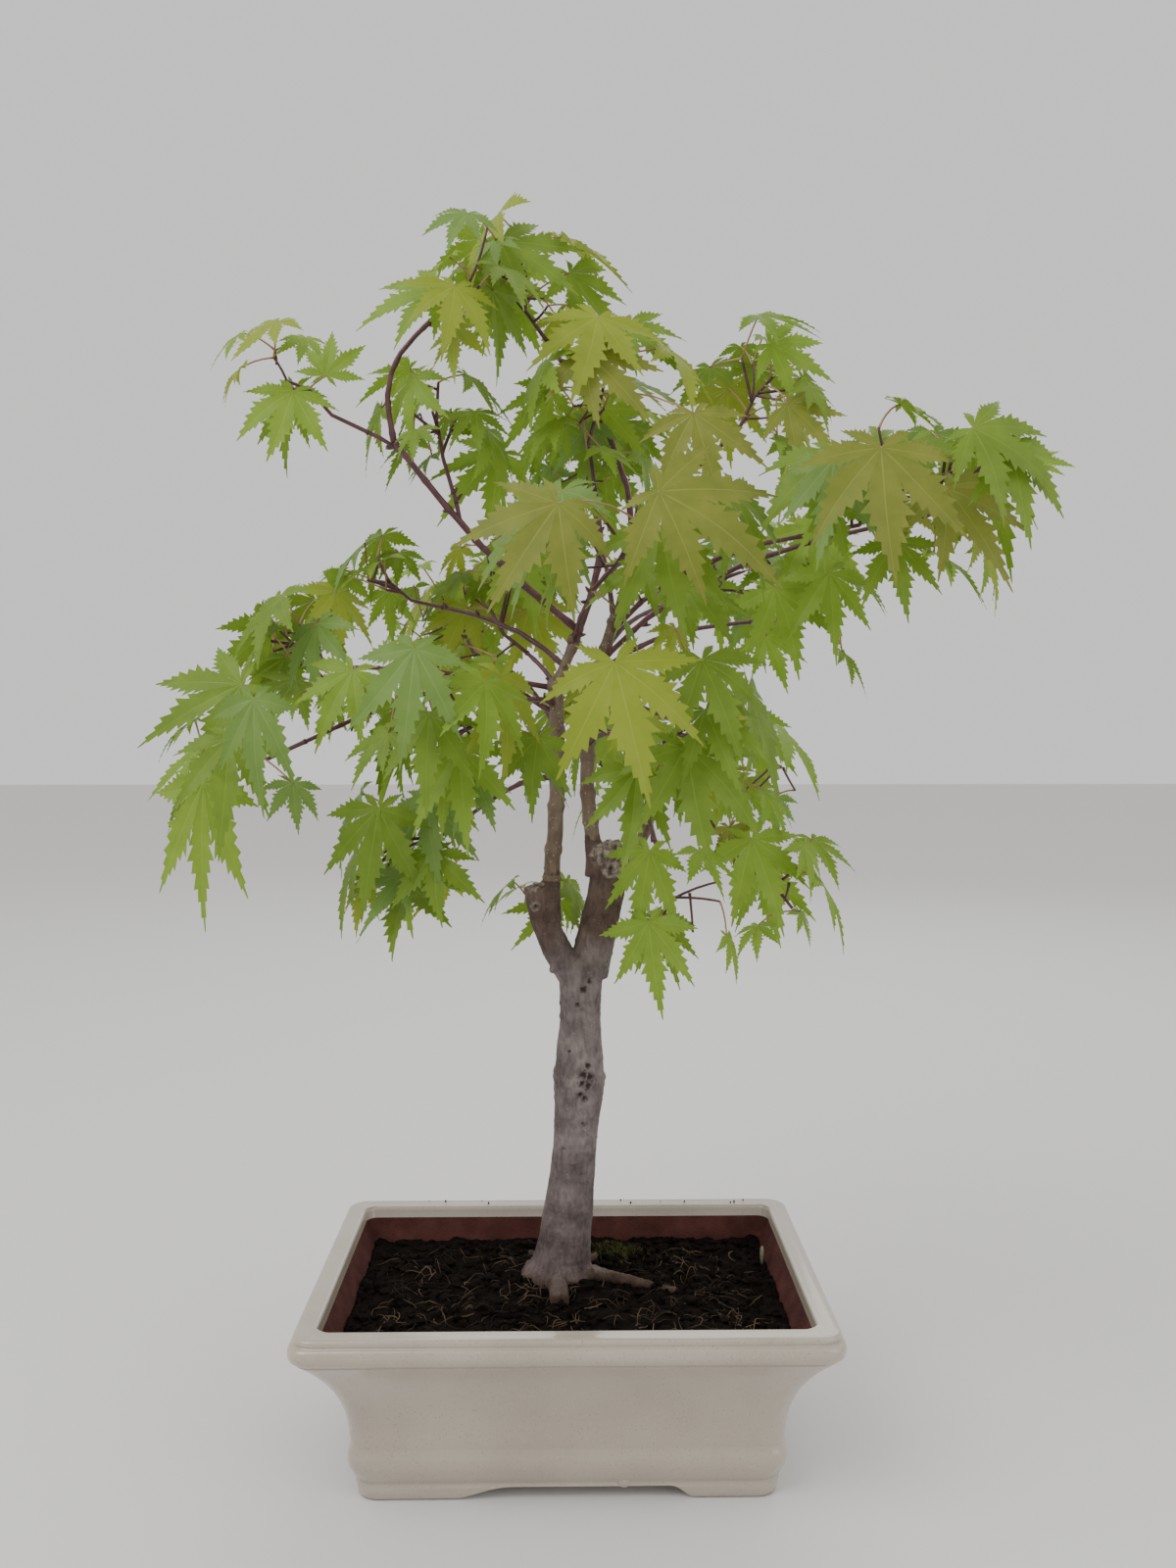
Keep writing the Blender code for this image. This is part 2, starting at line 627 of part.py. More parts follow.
def random_unit(rng):
    """A direction drawn evenly from all."""
    height = rng.uniform(-1, 1)
    angle = rng.uniform(0, 2 * math.pi)
    flat = math.sqrt(1 - height * height)
    return Vector((flat * math.cos(angle), flat * math.sin(angle), height))


class MassGrower:
    """Grows one mass from its bough's tip by a seeded rule."""

    twig = None
    leaf = None
    leaf_guard = None

    def __init__(self, name, mass, crown, branch):
        self.name = name
        self.mass = mass
        self.crown = crown
        self.rng = random.Random(mass.seed)
        self.centre = vector(mass.centre)
        self.tip, self.heading = branch.at(1.0)
        self.own = Crown()
        self.pieces = []
        self.blades = []
        self.leaves = 0
        if MassGrower.twig is None:
            MassGrower.twig = twig_shape()
            MassGrower.leaf = leaf_shape()
            MassGrower.leaf_guard = leaf_shape(LEAF_MARGIN)

    def inside(self, points, room=1.0):
        """Whether all points are in the mass's own space."""
        for point in points:
            offset = point - self.centre
            if sum((offset[i] / (self.mass.reach[i] * MM)) ** 2 for i in range(3)) > room * room:
                return False
        return True

    def grow_stem(self):
        """The one stem: off the bough's tip, through the centre."""
        start = self.tip + self.heading * CLEAR
        beyond = (self.centre - start) * STEM_PAST
        if beyond.length < STEM_LEAST * MM:
            beyond = self.heading * STEM_LEAST * MM
        end = self.centre + beyond
        span = (end - start).length
        first = start + self.heading * span * 0.4
        second = end + (UP * 0.12 - beyond.normalized() * 0.3) * span
        line = bezier_line(start, first, second, end, STEM_PIECES + 1)
        # the first stretch leaves square off the bough's end
        line[1] = start + self.heading * (line[1] - start).length
        radii = [STEM_GIRTH / 2 * MM * STEM_TAPER**index for index in range(STEM_PIECES + 1)]
        self.place("stem", mesh_shape(tube_mesh(self.name, line, radii, STEM_SIDES)))
        self.line = line

    def place(self, label, shape):
        """Keep a stem, a twig, a stalk or a leaf."""
        self.pieces.append((label, shape))
        self.own.add(label, *shape)
        self.crown.add(self.name, *shape)

    def stem_point(self, along):
        """A point on the stem and its direction there."""
        place = min(along, 0.9999) * STEM_PIECES
        index = int(place)
        start, end = self.line[index], self.line[index + 1]
        return start.lerp(end, place - index), (end - start).normalized()

    def clear(self, shape):
        """Whether a shape touches nothing placed, in this mass or elsewhere."""
        if self.crown.touched(*shape, leave_out=(self.name,)):
            return False
        return not self.own.touched(*shape)

    def stick_clear(self, root, end, girth, parent):
        """Whether a twig or stalk has room, past its foot as far as its own mass goes."""
        direction = (end - root).normalized()
        girth += 2 * MARGIN
        whole = moved(self.twig, twig_matrix(root, end, girth, STICK_PAST))
        if self.crown.touched(*whole, leave_out=(self.name,)):
            return False
        foot = root + direction * STICK_FOOT * MM
        past_foot = moved(self.twig, twig_matrix(foot, end, girth, STICK_PAST))
        return not self.own.touched(*past_foot, leave_out=(parent,))

    def grow_leaf(self, root, hub, blade, girth, parent, room=1.0):
        """A leaf and its stalk from a point of a twig, if there is room for both."""
        guard = moved(self.leaf_guard, blade)
        if not self.inside(guard[0], room) or not self.clear(guard):
            return False
        if not self.stick_clear(root, hub, girth, parent):
            return False
        stalk = twig_matrix(root, hub, girth * PETIOLE_SWELL, STALK_PAST)
        label = f"leaf{self.leaves}"
        self.place(label, moved(self.leaf, blade))
        self.place(label + "_stalk", moved(self.twig, stalk))
        self.blades.append(blade)
        self.leaves += 1
        return True

    def grow_shown(self):
        """The leaves that are named to face the front."""
        for shown in SHOWN_LEAVES:
            if shown.mass != self.name:
                continue
            hub = vector(shown.hub)
            turn = math.radians(shown.turn)
            lean = math.radians(shown.lean)
            normal = Vector((0.0, -math.cos(lean), math.sin(lean)))
            axis = Vector((math.sin(turn), -math.cos(turn) * math.tan(lean), -math.cos(turn)))
            blade = leaf_matrix(hub, axis.normalized(), normal, shown.length, shown.spread)
            roots = [self.stem_point(along)[0] for along in SHOWN_ROOTS]
            for root in sorted(roots, key=lambda root: (root - hub).length):
                if self.grow_leaf(root, hub, blade, TWIG_GIRTH, "stem", SHOWN_ROOM):
                    break

    def grow_spray(self, index, count, label):
        """A side twig with an opposite pair of leaves at its end."""
        rng = self.rng
        reach = sum(self.mass.reach) / 3 * MM
        for _ in range(TWIG_TRIES):
            along = 0.25 + 0.75 * (index + 1) / count + rng.uniform(-0.08, 0.08)
            root, forward = self.stem_point(min(along, 0.99))
            turn = Matrix.Rotation(GOLDEN_ANGLE * index + rng.uniform(-0.6, 0.6), 3, forward)
            side = turn @ forward.orthogonal().normalized()
            spread = rng.uniform(*(SIDE_SPREAD if index + 1 < count else END_SPREAD))
            direction = (forward + side * spread + UP * 0.15).normalized()
            joint = root + direction * reach * rng.uniform(*SPRAY_REACH)
            if self.inside([joint]) and self.stick_clear(root, joint, TWIG_GIRTH, "stem"):
                break
        else:
            return
        spray_start = len(self.pieces)
        self.place(label, moved(self.twig, twig_matrix(root, joint, TWIG_GIRTH, 0.4)))
        across = direction.cross(UP)
        across = across.normalized() if across.length > 0.2 else direction.orthogonal().normalized()
        across = Matrix.Rotation(rng.uniform(-0.7, 0.7), 3, direction) @ across
        grown = 0
        for sign in (1, -1):
            for _ in range(LEAF_TRIES):
                if self.leaves >= self.mass.leaves:
                    break
                out = direction * rng.uniform(0.2, 0.9) + across * sign + random_unit(rng) * 0.5
                out = (out + UP * rng.uniform(0.0, 0.4)).normalized()
                hub = joint + out * rng.uniform(*PETIOLE_LENGTH) * MM
                if self.draw_blade(joint, hub, out, label):
                    grown += 1
                    break
        if not grown:
            del self.pieces[spray_start:]

    def draw_blade(self, root, hub, out, label):
        """Draw how a blade hangs off its stalk, and grow it if there is room."""
        rng = self.rng
        away = (hub - self.centre).normalized()
        level = out * 0.6 + away * 0.6 + FRONT * 0.25 + random_unit(rng) * 0.4
        level = Vector((hub.x, hub.y * 1.2, 0.0)).normalized() * 0.6 + level
        level.z = 0.0
        if level.length < 0.1:
            return False
        level.normalize()
        droop = math.radians(rng.uniform(*BLADE_DROOP))
        axis = level * math.cos(droop) - UP * math.sin(droop)
        normal = level * math.sin(droop) + UP * math.cos(droop)
        normal = Matrix.Rotation(rng.uniform(-BLADE_ROLL, BLADE_ROLL), 3, axis) @ normal
        length = self.mass.length * rng.uniform(*BLADE_SIZE)
        blade = leaf_matrix(hub, axis, normal, length, rng.uniform(*BLADE_SPREAD))
        return self.grow_leaf(root, hub, blade, PETIOLE_GIRTH, label)

    def grow_sprays(self):
        """Sprays up the stem until the mass has its leaves."""
        count = max(2, math.ceil((self.mass.leaves - self.leaves) / 2) + 1)
        for index in range(SPRAY_ROUNDS * count):
            if self.leaves >= self.mass.leaves:
                break
            self.grow_spray(index % count, count, f"spray{index}")


def bough_of(name):
    """The limb that carries a mass."""
    mass = MASSES[name]
    return mass.parent if mass.along is None else name + "_bough"


def plan_masses(crown, branches):
    """The twigs and leaves of every mass: all stems, then the named leaves, then sprays."""
    growers = []
    for name, mass in MASSES.items():
        growers.append(MassGrower(name, mass, crown, branches[bough_of(name)]))
    for grower in growers:
        grower.grow_stem()
    for grower in growers:
        grower.grow_shown()
    for grower in growers:
        grower.grow_sprays()
    return {grower.name: grower.pieces for grower in growers}


def join(obj, others, operation):
    """Join or cut an object with all objects of a collection, in one go."""
    boolean = obj.modifiers.new("join", "BOOLEAN")
    boolean.operation = operation
    boolean.operand_type = "COLLECTION"
    boolean.collection = others
    settle(obj)
    for other in list(others.objects):
        mesh = other.data
        bpy.data.objects.remove(other)
        bpy.data.meshes.remove(mesh)
    bpy.data.collections.remove(others)
    keep_largest(obj)


def scratch_collection(name):
    """A collection for shapes that are about to be joined."""
    collection = bpy.data.collections.new(name)
    bpy.context.scene.collection.children.link(collection)
    return collection


def make_trunk(branch, parts, material):
    """The trunk with its surface roots, cut flat at the soil."""
    trunk = add_object("trunk", branch.mesh(), parts, material)
    roots = scratch_collection("roots")
    for index, (start, middle, end, base, tip) in enumerate(ROOTS):
        first = vector(start).lerp(vector(middle), 0.67)
        second = vector(end).lerp(vector(middle), 0.67)
        points = bezier_line(vector(start), first, second, vector(end), 6)
        radii = [(base + (tip - base) * step / 5) / 2 * MM for step in range(6)]
        mesh = tube_mesh(f"root{index}", points, radii, ROOT_SIDES)
        add_object(f"root{index}", mesh, roots)
    join(trunk, roots, "UNION")
    bm = bmesh.new()
    bm.from_mesh(trunk.data)
    level = SOIL_TOP * MM + CLEAR
    cut = bmesh.ops.bisect_plane(
        bm, geom=bm.verts[:] + bm.edges[:] + bm.faces[:], plane_co=(0, 0, level),
        plane_no=(0, 0, 1), clear_inner=True, dist=WELD,
    )
    rim = [part for part in cut["geom_cut"] if isinstance(part, bmesh.types.BMEdge)]
    bmesh.ops.edgeloop_fill(bm, edges=rim)
    bmesh.ops.recalc_face_normals(bm, faces=bm.faces)
    bm.to_mesh(trunk.data)
    bm.free()
    keep_largest(trunk)


def make_limb(branch, earlier, parts, material):
    """A limb, cut back where it meets its parent and its neighbours."""
    limb = add_object(branch.name, branch.mesh(), parts, material)
    near = Crown()
    near.add(branch.name, *mesh_shape(branch.mesh(2 * CLEAR)))
    cutters = scratch_collection(branch.name + "_cutters")
    for other in earlier:
        if near.touched(*mesh_shape(other.mesh(CLEAR))):
            add_object(other.name + "_cutter", other.mesh(CLEAR), cutters)
    join(limb, cutters, "DIFFERENCE")


def make_mass(name, pieces, parts, material):
    """One mass: its stem joined with its twigs and leaves."""
    others = scratch_collection(name + "_pieces")
    mass = None
    for label, (points, faces) in pieces:
        mesh = bpy.data.meshes.new(name)
        mesh.from_pydata(points, [], faces)
        if label == "stem":
            mass = add_object(name, mesh, parts, material)
        else:
            add_object(f"{name}_{label}", mesh, others)
    join(mass, others, "UNION")


def build():
    """The whole part."""
    for obj in list(bpy.data.objects):
        bpy.data.objects.remove(obj)
    parts = bpy.data.collections.new("maple_bonsai")
    cutters = bpy.data.collections.new("cutters")
    bpy.context.scene.collection.children.link(parts)
    bpy.context.scene.collection.children.link(cutters)
    palette = {name: make_material(name) for name in MATERIALS}
    crown = Crown()
    branches = plan_limbs(crown)
    masses = plan_masses(crown, branches)
    make_pot(parts, cutters, palette["pot"])
    make_soil(parts, palette["soil"])
    make_trunk(branches["trunk"], parts, palette["bark"])
    earlier = [branches["trunk"]]
    for name, branch in branches.items():
        if name == "trunk":
            continue
        thin = branch.radii[0] < SHOOT_GIRTH / 2 * MM
        make_limb(branch, earlier, parts, palette["shoot" if thin else "bark"])
        earlier.append(branch)
    for name, pieces in masses.items():
        make_mass(name, pieces, parts, palette["leaf"])
    for obj in parts.objects:
        if obj.name in ("pot", "trunk") or "stub" in obj.name:
            obj.data.shade_smooth()
            obj.data.set_sharp_from_angle(angle=math.radians(SHARP_ANGLE))


if __name__ == "__main__":
    build()
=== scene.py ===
"""Looks of a maple bonsai in its glazed pot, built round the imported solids.

Lengths in the tables are millimetres and become metres through MM. The origin is the
middle of the pot on the surface that it stands on, X along the pot, Z up, and the
photograph looks along +Y.
"""

import json
import logging
import math
import random
from collections.abc import Callable, Iterable, Sequence
from dataclasses import dataclass, field
from enum import Enum
from typing import NamedTuple

import bmesh
import bpy
import numpy as np
from mathutils import Matrix, Vector, noise
from mathutils.bvhtree import BVHTree

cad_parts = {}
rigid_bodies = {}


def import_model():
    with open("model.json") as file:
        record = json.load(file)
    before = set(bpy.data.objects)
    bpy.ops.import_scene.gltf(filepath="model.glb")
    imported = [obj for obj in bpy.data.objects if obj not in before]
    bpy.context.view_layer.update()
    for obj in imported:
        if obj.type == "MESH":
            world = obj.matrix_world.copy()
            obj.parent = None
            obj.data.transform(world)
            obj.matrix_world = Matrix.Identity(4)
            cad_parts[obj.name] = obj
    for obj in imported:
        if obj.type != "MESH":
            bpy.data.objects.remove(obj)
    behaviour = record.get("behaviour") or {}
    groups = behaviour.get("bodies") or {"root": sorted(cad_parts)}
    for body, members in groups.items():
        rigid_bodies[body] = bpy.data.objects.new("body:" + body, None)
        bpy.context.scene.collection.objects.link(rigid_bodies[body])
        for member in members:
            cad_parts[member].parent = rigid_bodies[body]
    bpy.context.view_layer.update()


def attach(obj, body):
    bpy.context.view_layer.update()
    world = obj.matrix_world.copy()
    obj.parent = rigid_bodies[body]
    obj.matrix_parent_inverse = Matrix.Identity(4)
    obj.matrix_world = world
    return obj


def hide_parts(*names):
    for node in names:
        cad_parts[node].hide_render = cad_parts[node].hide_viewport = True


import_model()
LOG = logging.getLogger("bonsai")

MM = 0.001
CLEAR = 0.3 * MM
UP = Vector((0.0, 0.0, 1.0))
FRONT = Vector((0.0, -1.0, 0.0))
GOLDEN_ANGLE = math.radians(137.5)
CAMERA_PLACE = Vector((0.0, -0.557, 0.3014))
NOISE_SEED = 7

LAST_SHARE = 0.9999
WELD = 0.00001

BMesh = bmesh.types.BMesh
BMVert = bmesh.types.BMVert
BMEdge = bmesh.types.BMEdge
BMFace = bmesh.types.BMFace
Socket = bpy.types.NodeSocket
Material = bpy.types.Material
Shape = tuple[list[Vector], list[tuple[int, ...]]]
Colour = tuple[float, float, float]


class LeafTone(Enum):
    """The plain colours that leaves are dealt."""

    GREEN = "green"
    FRESH = "fresh"
    YELLOW = "yellow"
    BRONZE = "bronze"
    BLUISH = "bluish"


class Limb(NamedTuple):
    """A limb: parent, ends, bow at its middle, both girths and sides."""

    parent: str
    start: tuple[float, float, float]
    end: tuple[float, float, float]
    bow: tuple[float, float, float]
    girths: tuple[float, float]
    sides: int


class Mass(NamedTuple):
    """A foliage mass: its parent limb, where on it, centre, reach and its leaves."""

    parent: str
    along: float | None
    centre: tuple[float, float, float]
    reach: tuple[float, float, float]
    leaves: int
    length: float
    seed: int


class Shown(NamedTuple):
    """A leaf that faces the front: its mass, hub, turn, lean, length, spread and tone."""

    mass: str
    hub: tuple[float, float, float]
    turn: float
    lean: float
    length: float
    spread: float
    tone: LeafTone


TRUNK_FOOT = (-4.0, 18.0, 54.0)
TRUNK_TOP = (5.8, 18.0, 201.0)
TRUNK_BOW = (3.0, 0.0, 0.0)
TRUNK_GIRTHS = [
    (0.0, 37.0), (0.045, 33.0), (0.065, 28.0), (0.095, 24.6), (0.15, 22.6), (0.24, 21.5),
    (0.33, 19.8), (0.42, 19.0), (0.50, 19.5), (0.57, 21.0), (0.63, 21.9), (0.69, 20.5),
    (0.76, 18.5), (0.83, 18.0), (0.90, 18.6), (0.95, 19.0), (0.98, 17.6), (1.0, 13.0),
]
TRUNK_SIDES = 16
ROOTS = [
    ((2.0, 15.0, 63.0), (18.0, 11.0, 61.4), (46.0, 0.0, 60.0), 9.0, 2.6),
    ((-3.0, 12.0, 62.5), (-4.0, 2.0, 61.5), (-3.0, -13.0, 61.0), 9.0, 8.0),
    ((-8.0, 17.0, 62.5), (-17.0, 14.0, 61.0), (-24.0, 8.0, 60.2), 7.0, 3.0),
    ((-4.0, 22.0, 62.5), (-9.0, 32.0, 61.0), (-18.0, 40.0, 60.2), 7.0, 3.0),
    ((3.0, 22.0, 62.5), (12.0, 31.0, 61.0), (17.0, 41.0, 60.2), 7.0, 3.0),
]

# Limbs in order of growth
LIMBS = {
    "left_stub": Limb(
        "trunk", (3.0, 18.0, 190.0), (-13.1, 14.0, 231.8), (-3.0, 0.0, 0.0), (12.4, 11.7), 10,
    ),
    "right_stub": Limb(
        "trunk", (9.0, 18.6, 192.0), (20.4, 19.0, 246.1), (0.0, 0.0, 0.0), (17.0, 15.6), 10,
    ),
    "left_stem": Limb(
        "left_stub", (-8.4, 15.0, 217.0), (-4.9, 10.0, 319.2), (2.0, 0.0, 0.0), (7.4, 6.2), 8,
    ),
    "left_leader": Limb(
        "left_stem", (-4.9, 10.0, 316.5), (5.5, 10.0, 342.0), (0.0, 0.0, 0.0), (4.8, 3.8), 6,
    ),
    "right_stem": Limb(
        "right_stub", (13.5, 18.0, 236.0), (20.7, 18.0, 347.6), (-8.5, -2.0, 0.0), (6.9, 5.0), 8,
    ),
    "back_stem": Limb(
        "right_stub", (21.0, 20.0, 233.0), (41.3, 45.0, 273.8), (3.0, 0.0, 0.0), (5.6, 4.6), 6,
    ),
    "arch_low": Limb(
        "left_leader", (5.0, 10.0, 340.5), (-69.9, -12.0, 415.2), (-3.0, 0.0, -3.0), (3.2, 2.4), 6,
    ),
    "arch_high": Limb(
        "arch_low", (-69.9, -12.0, 414.6), (-53.0, -19.0, 462.0), (-9.0, 0.0, 3.0), (2.3, 1.9), 6,
    ),
    "upright": Limb(
        "left_leader", (2.0, 10.0, 334.0), (11.5, 0.0, 398.0), (6.0, -4.0, 0.0), (3.4, 2.2), 6,
    ),
    "top_bough": Limb(
        "right_stem", (20.0, 18.0, 344.0), (-8.9, 10.0, 462.0), (20.0, 4.0, 0.0), (3.6, 2.4), 6,
    ),
}

# Foliage masses
MASSES = {
    "top": Mass("top_bough", None, (-14, 10, 487), (56, 56, 40), 6, 40, 113),
    "arch_top": Mass("arch_high", None, (-48, -20, 466), (46, 50, 40), 4, 38, 43),
    "arch_side": Mass("arch_low", 0.985, (-102, -12, 434), (44, 46, 46), 3, 36, 90),
    "arch_inner": Mass("arch_low", 0.62, (-52, -2, 418), (46, 46, 40), 5, 36, 3),
    "upper_mid": Mass("upright", None, (15, -4, 432), (56, 52, 48), 7, 40, 145),
    "upper_right": Mass("top_bough", 0.24, (78, 8, 436), (58, 54, 50), 7, 38, 59),
    "right_front": Mass("right_stem", 0.93, (112, -92, 379), (60, 56, 52), 6, 44, 101),
    "right_tip": Mass("right_stem", 0.83, (138, -84, 383), (44, 60, 50), 4, 40, 122),
    "right_mid": Mass("right_stem", 0.78, (97, -28, 349), (44, 52, 46), 5, 42, 13),
    "centre_front": Mass("left_leader", 0.75, (22, -84, 367), (66, 50, 46), 5, 48, 1),
    "centre_low": Mass("right_stem", 0.50, (40, -56, 296), (54, 58, 64), 6, 44, 132),
    "right_low": Mass("right_stem", 0.66, (82, 16, 288), (42, 56, 62), 5, 42, 117),
    "right_hang": Mass("right_stem", 0.58, (87, 0, 233), (42, 50, 46), 3, 40, 41),
    "low_centre": Mass("back_stem", 0.60, (42, -14, 229), (38, 46, 54), 3, 40, 116),
    "left_front": Mass("left_stem", 0.90, (-42, -56, 302), (58, 50, 60), 7, 44, 136),
    "far_left": Mass("left_stem", 0.97, (-128, -42, 288), (46, 56, 70), 5, 46, 27),
    "left_up": Mass("left_stem", 0.86, (-110, 2, 332), (56, 54, 48), 8, 38, 48),
    "left_high": Mass("left_leader", 0.35, (-76, 34, 362), (42, 48, 44), 4, 36, 148),
    "left_low": Mass("left_stem", 0.60, (-66, -8, 252), (50, 54, 60), 7, 44, 75),
    "mid_left": Mass("left_stem", 0.97, (-33, 34, 350), (52, 48, 44), 6, 40, 1),
    "back_top": Mass("right_stem", 0.98, (8, 84, 424), (56, 54, 52), 6, 40, 128),
    "back_right": Mass("right_stem", 0.88, (76, 88, 370), (58, 58, 56), 7, 42, 86),
    "back_left": Mass("left_stem", 0.80, (-50, 93, 344), (60, 52, 56), 7, 42, 125),
    "back_low": Mass("back_stem", 1.0, (24, 82, 288), (54, 52, 50), 6, 42, 114),
    "under_fork": Mass("left_stub", 0.60, (-10, 52, 212), (34, 40, 36), 2, 32, 22),
}

# Leaves that face the front, grown first in their mass
SHOWN_LEAVES = [
    Shown("right_front", (101, -125, 390), 0, 22, 46, 1.0, LeafTone.BRONZE),
    Shown("right_front", (128, -104, 381), 32, 30, 41, 0.8, LeafTone.BRONZE),
    Shown("right_tip", (131.5, -122, 397), 62, 30, 35, 1.0, LeafTone.GREEN),
    Shown("upper_right", (84, 0, 458), 62, 20, 31, 0.9, LeafTone.FRESH),
    Shown("upper_right", (89, -14, 430), 45, 25, 30, 0.9, LeafTone.BRONZE),
    Shown("upper_mid", (7, -26, 447), 45, 28, 42, 0.9, LeafTone.BRONZE),
    Shown("upper_mid", (49, -36, 421), 15, 28, 36, 1.0, LeafTone.BRONZE),
    Shown("centre_front", (-3, -112, 374), -35, 22, 42, 1.0, LeafTone.BRONZE),
    Shown("centre_front", (30, -118, 377), 62, 24, 50, 0.9, LeafTone.BRONZE),
    Shown("centre_low", (16, -106, 322), 14, 20, 50, 0.95, LeafTone.YELLOW),
    Shown("right_mid", (78, -55, 352), 18, 26, 36, 0.85, LeafTone.FRESH),
    Shown("left_front", (-53, -92, 327), -4, 24, 42, 0.75, LeafTone.BLUISH),
    Shown("far_left", (-123, -50, 316), -65, 26, 46, 0.8, LeafTone.GREEN),
    Shown("far_left", (-113, -74, 310), 4, 20, 42, 0.6, LeafTone.BLUISH),
    Shown("far_left", (-138, -50, 279), 0, 14, 56, 0.5, LeafTone.FRESH),
    Shown("left_low", (-74, -34, 268), -8, 18, 44, 0.8, LeafTone.GREEN),
    Shown("left_up", (-83, -38, 322), -28, 26, 36, 0.8, LeafTone.FRESH),
    Shown("arch_side", (-107, -28, 431), -14, 24, 31, 1.0, LeafTone.FRESH),
    Shown("arch_side", (-97, -12, 441), 172, 10, 22, 1.0, LeafTone.FRESH),
    Shown("arch_top", (-50, -34, 468), -78, 30, 34, 0.8, LeafTone.FRESH),
    Shown("top", (-27, -8, 496), 58, 30, 40, 0.8, LeafTone.GREEN),
    Shown("right_hang", (76, -10, 254), 20, 24, 42, 0.8, LeafTone.FRESH),
    Shown("low_centre", (32, -34, 223), 6, 20, 38, 0.75, LeafTone.FRESH),
]

# Smaller leaves that face the front, on the finer twigs
FINER_LEAVES = [
    Shown("arch_inner", (-27, 0, 413), -46, 30, 41, 0.8, LeafTone.FRESH),
    Shown("centre_front", (44, -60, 352), 45, 35, 29, 0.9, LeafTone.GREEN),
    Shown("centre_front", (29, -40, 363), -24, 30, 31, 0.8, LeafTone.GREEN),
    Shown("under_fork", (-3, 55, 220), -50, 30, 31, 0.8, LeafTone.FRESH),
    Shown("low_centre", (34, -10, 249), -11, 20, 40, 0.7, LeafTone.FRESH),
    Shown("upper_mid", (24, -15, 461), 48, 35, 33, 0.9, LeafTone.GREEN),
    Shown("left_front", (-11, -55, 296), -8, 25, 32, 0.8, LeafTone.GREEN),
    Shown("right_front", (108, -90, 399), 139, 40, 16, 0.8, LeafTone.GREEN),
    Shown("right_mid", (79, -25, 336), 22, 30, 25, 0.9, LeafTone.FRESH),
    Shown("right_tip", (158, -100, 391), 90, 30, 17, 0.6, LeafTone.FRESH),
    Shown("centre_low", (42, -40, 338), -20, 40, 20, 0.8, LeafTone.YELLOW),
]




def vector(values: Sequence[float]) -> Vector:
    """Turn a point or a length in millimetres into metres."""
    return Vector(values) * MM


def linked(name: str, data: bpy.types.ID | None) -> bpy.types.Object:
    """Put a new object in the scene."""
    holder = bpy.data.objects.new(name, data)
    bpy.context.scene.collection.objects.link(holder)
    return holder


def meshed(name: str, bm: BMesh) -> bpy.types.Object:
    """Turn a bmesh into an object in the scene, and free it."""
    mesh = bpy.data.meshes.new(name)
    bm.to_mesh(mesh)
    bm.free()
    return linked(name, mesh)


def settled(holder: bpy.types.Object, *spare: bpy.types.Object) -> BMesh:
    """Read an object's mesh with its modifiers, and remove the object and its cutters."""
    bpy.context.view_layer.update()
    mesh = bpy.data.meshes.new_from_object(holder.evaluated_get(bpy.context.evaluated_depsgraph_get()))
    for used in (*spare, holder):
        bpy.data.objects.remove(used)
    bm = bmesh.new()
    bm.from_mesh(mesh)
    bpy.data.meshes.remove(mesh)
    return bm


def only(parts: Iterable, kind: type) -> list:
    """Keep the parts of one kind."""
    return [part for part in parts if isinstance(part, kind)]


def carry_on(spots: dict, made: Iterable[BMVert]) -> None:
    """Give each newly extruded point the spot of the point that it came from."""
    for vertex in made:
        others = (edge.other_vert(vertex) for edge in vertex.link_edges)
        spots[vertex] = next(spots[other] for other in others if other in spots and other not in made)


def add_lump(
    bm: BMesh, centre: Sequence[float], sizes: Sequence[float], rough: float = 0.0, grain: float = 1.5
) -> None:
    """Add a ball stretched to its three half sizes in millimetres, with an uneven skin."""
    for vertex in bmesh.ops.create_icosphere(bm, subdivisions=3, radius=1.0)["verts"]:
        swell = 1.0 + rough * noise.noise(vertex.co * grain + Vector(centre))
        vertex.co = vector(centre) + vector([part * size * swell for part, size in zip(vertex.co, sizes)])


def along_line(points: Sequence[Vector], along: float) -> tuple[Vector, Vector]:
    """Find the point at a share of an evenly stepped line, and the line's direction there."""
    place = min(along, LAST_SHARE) * (len(points) - 1)
    index = int(place)
    start, end = points[index], points[index + 1]
    return start.lerp(end, place - index), (end - start).normalized()


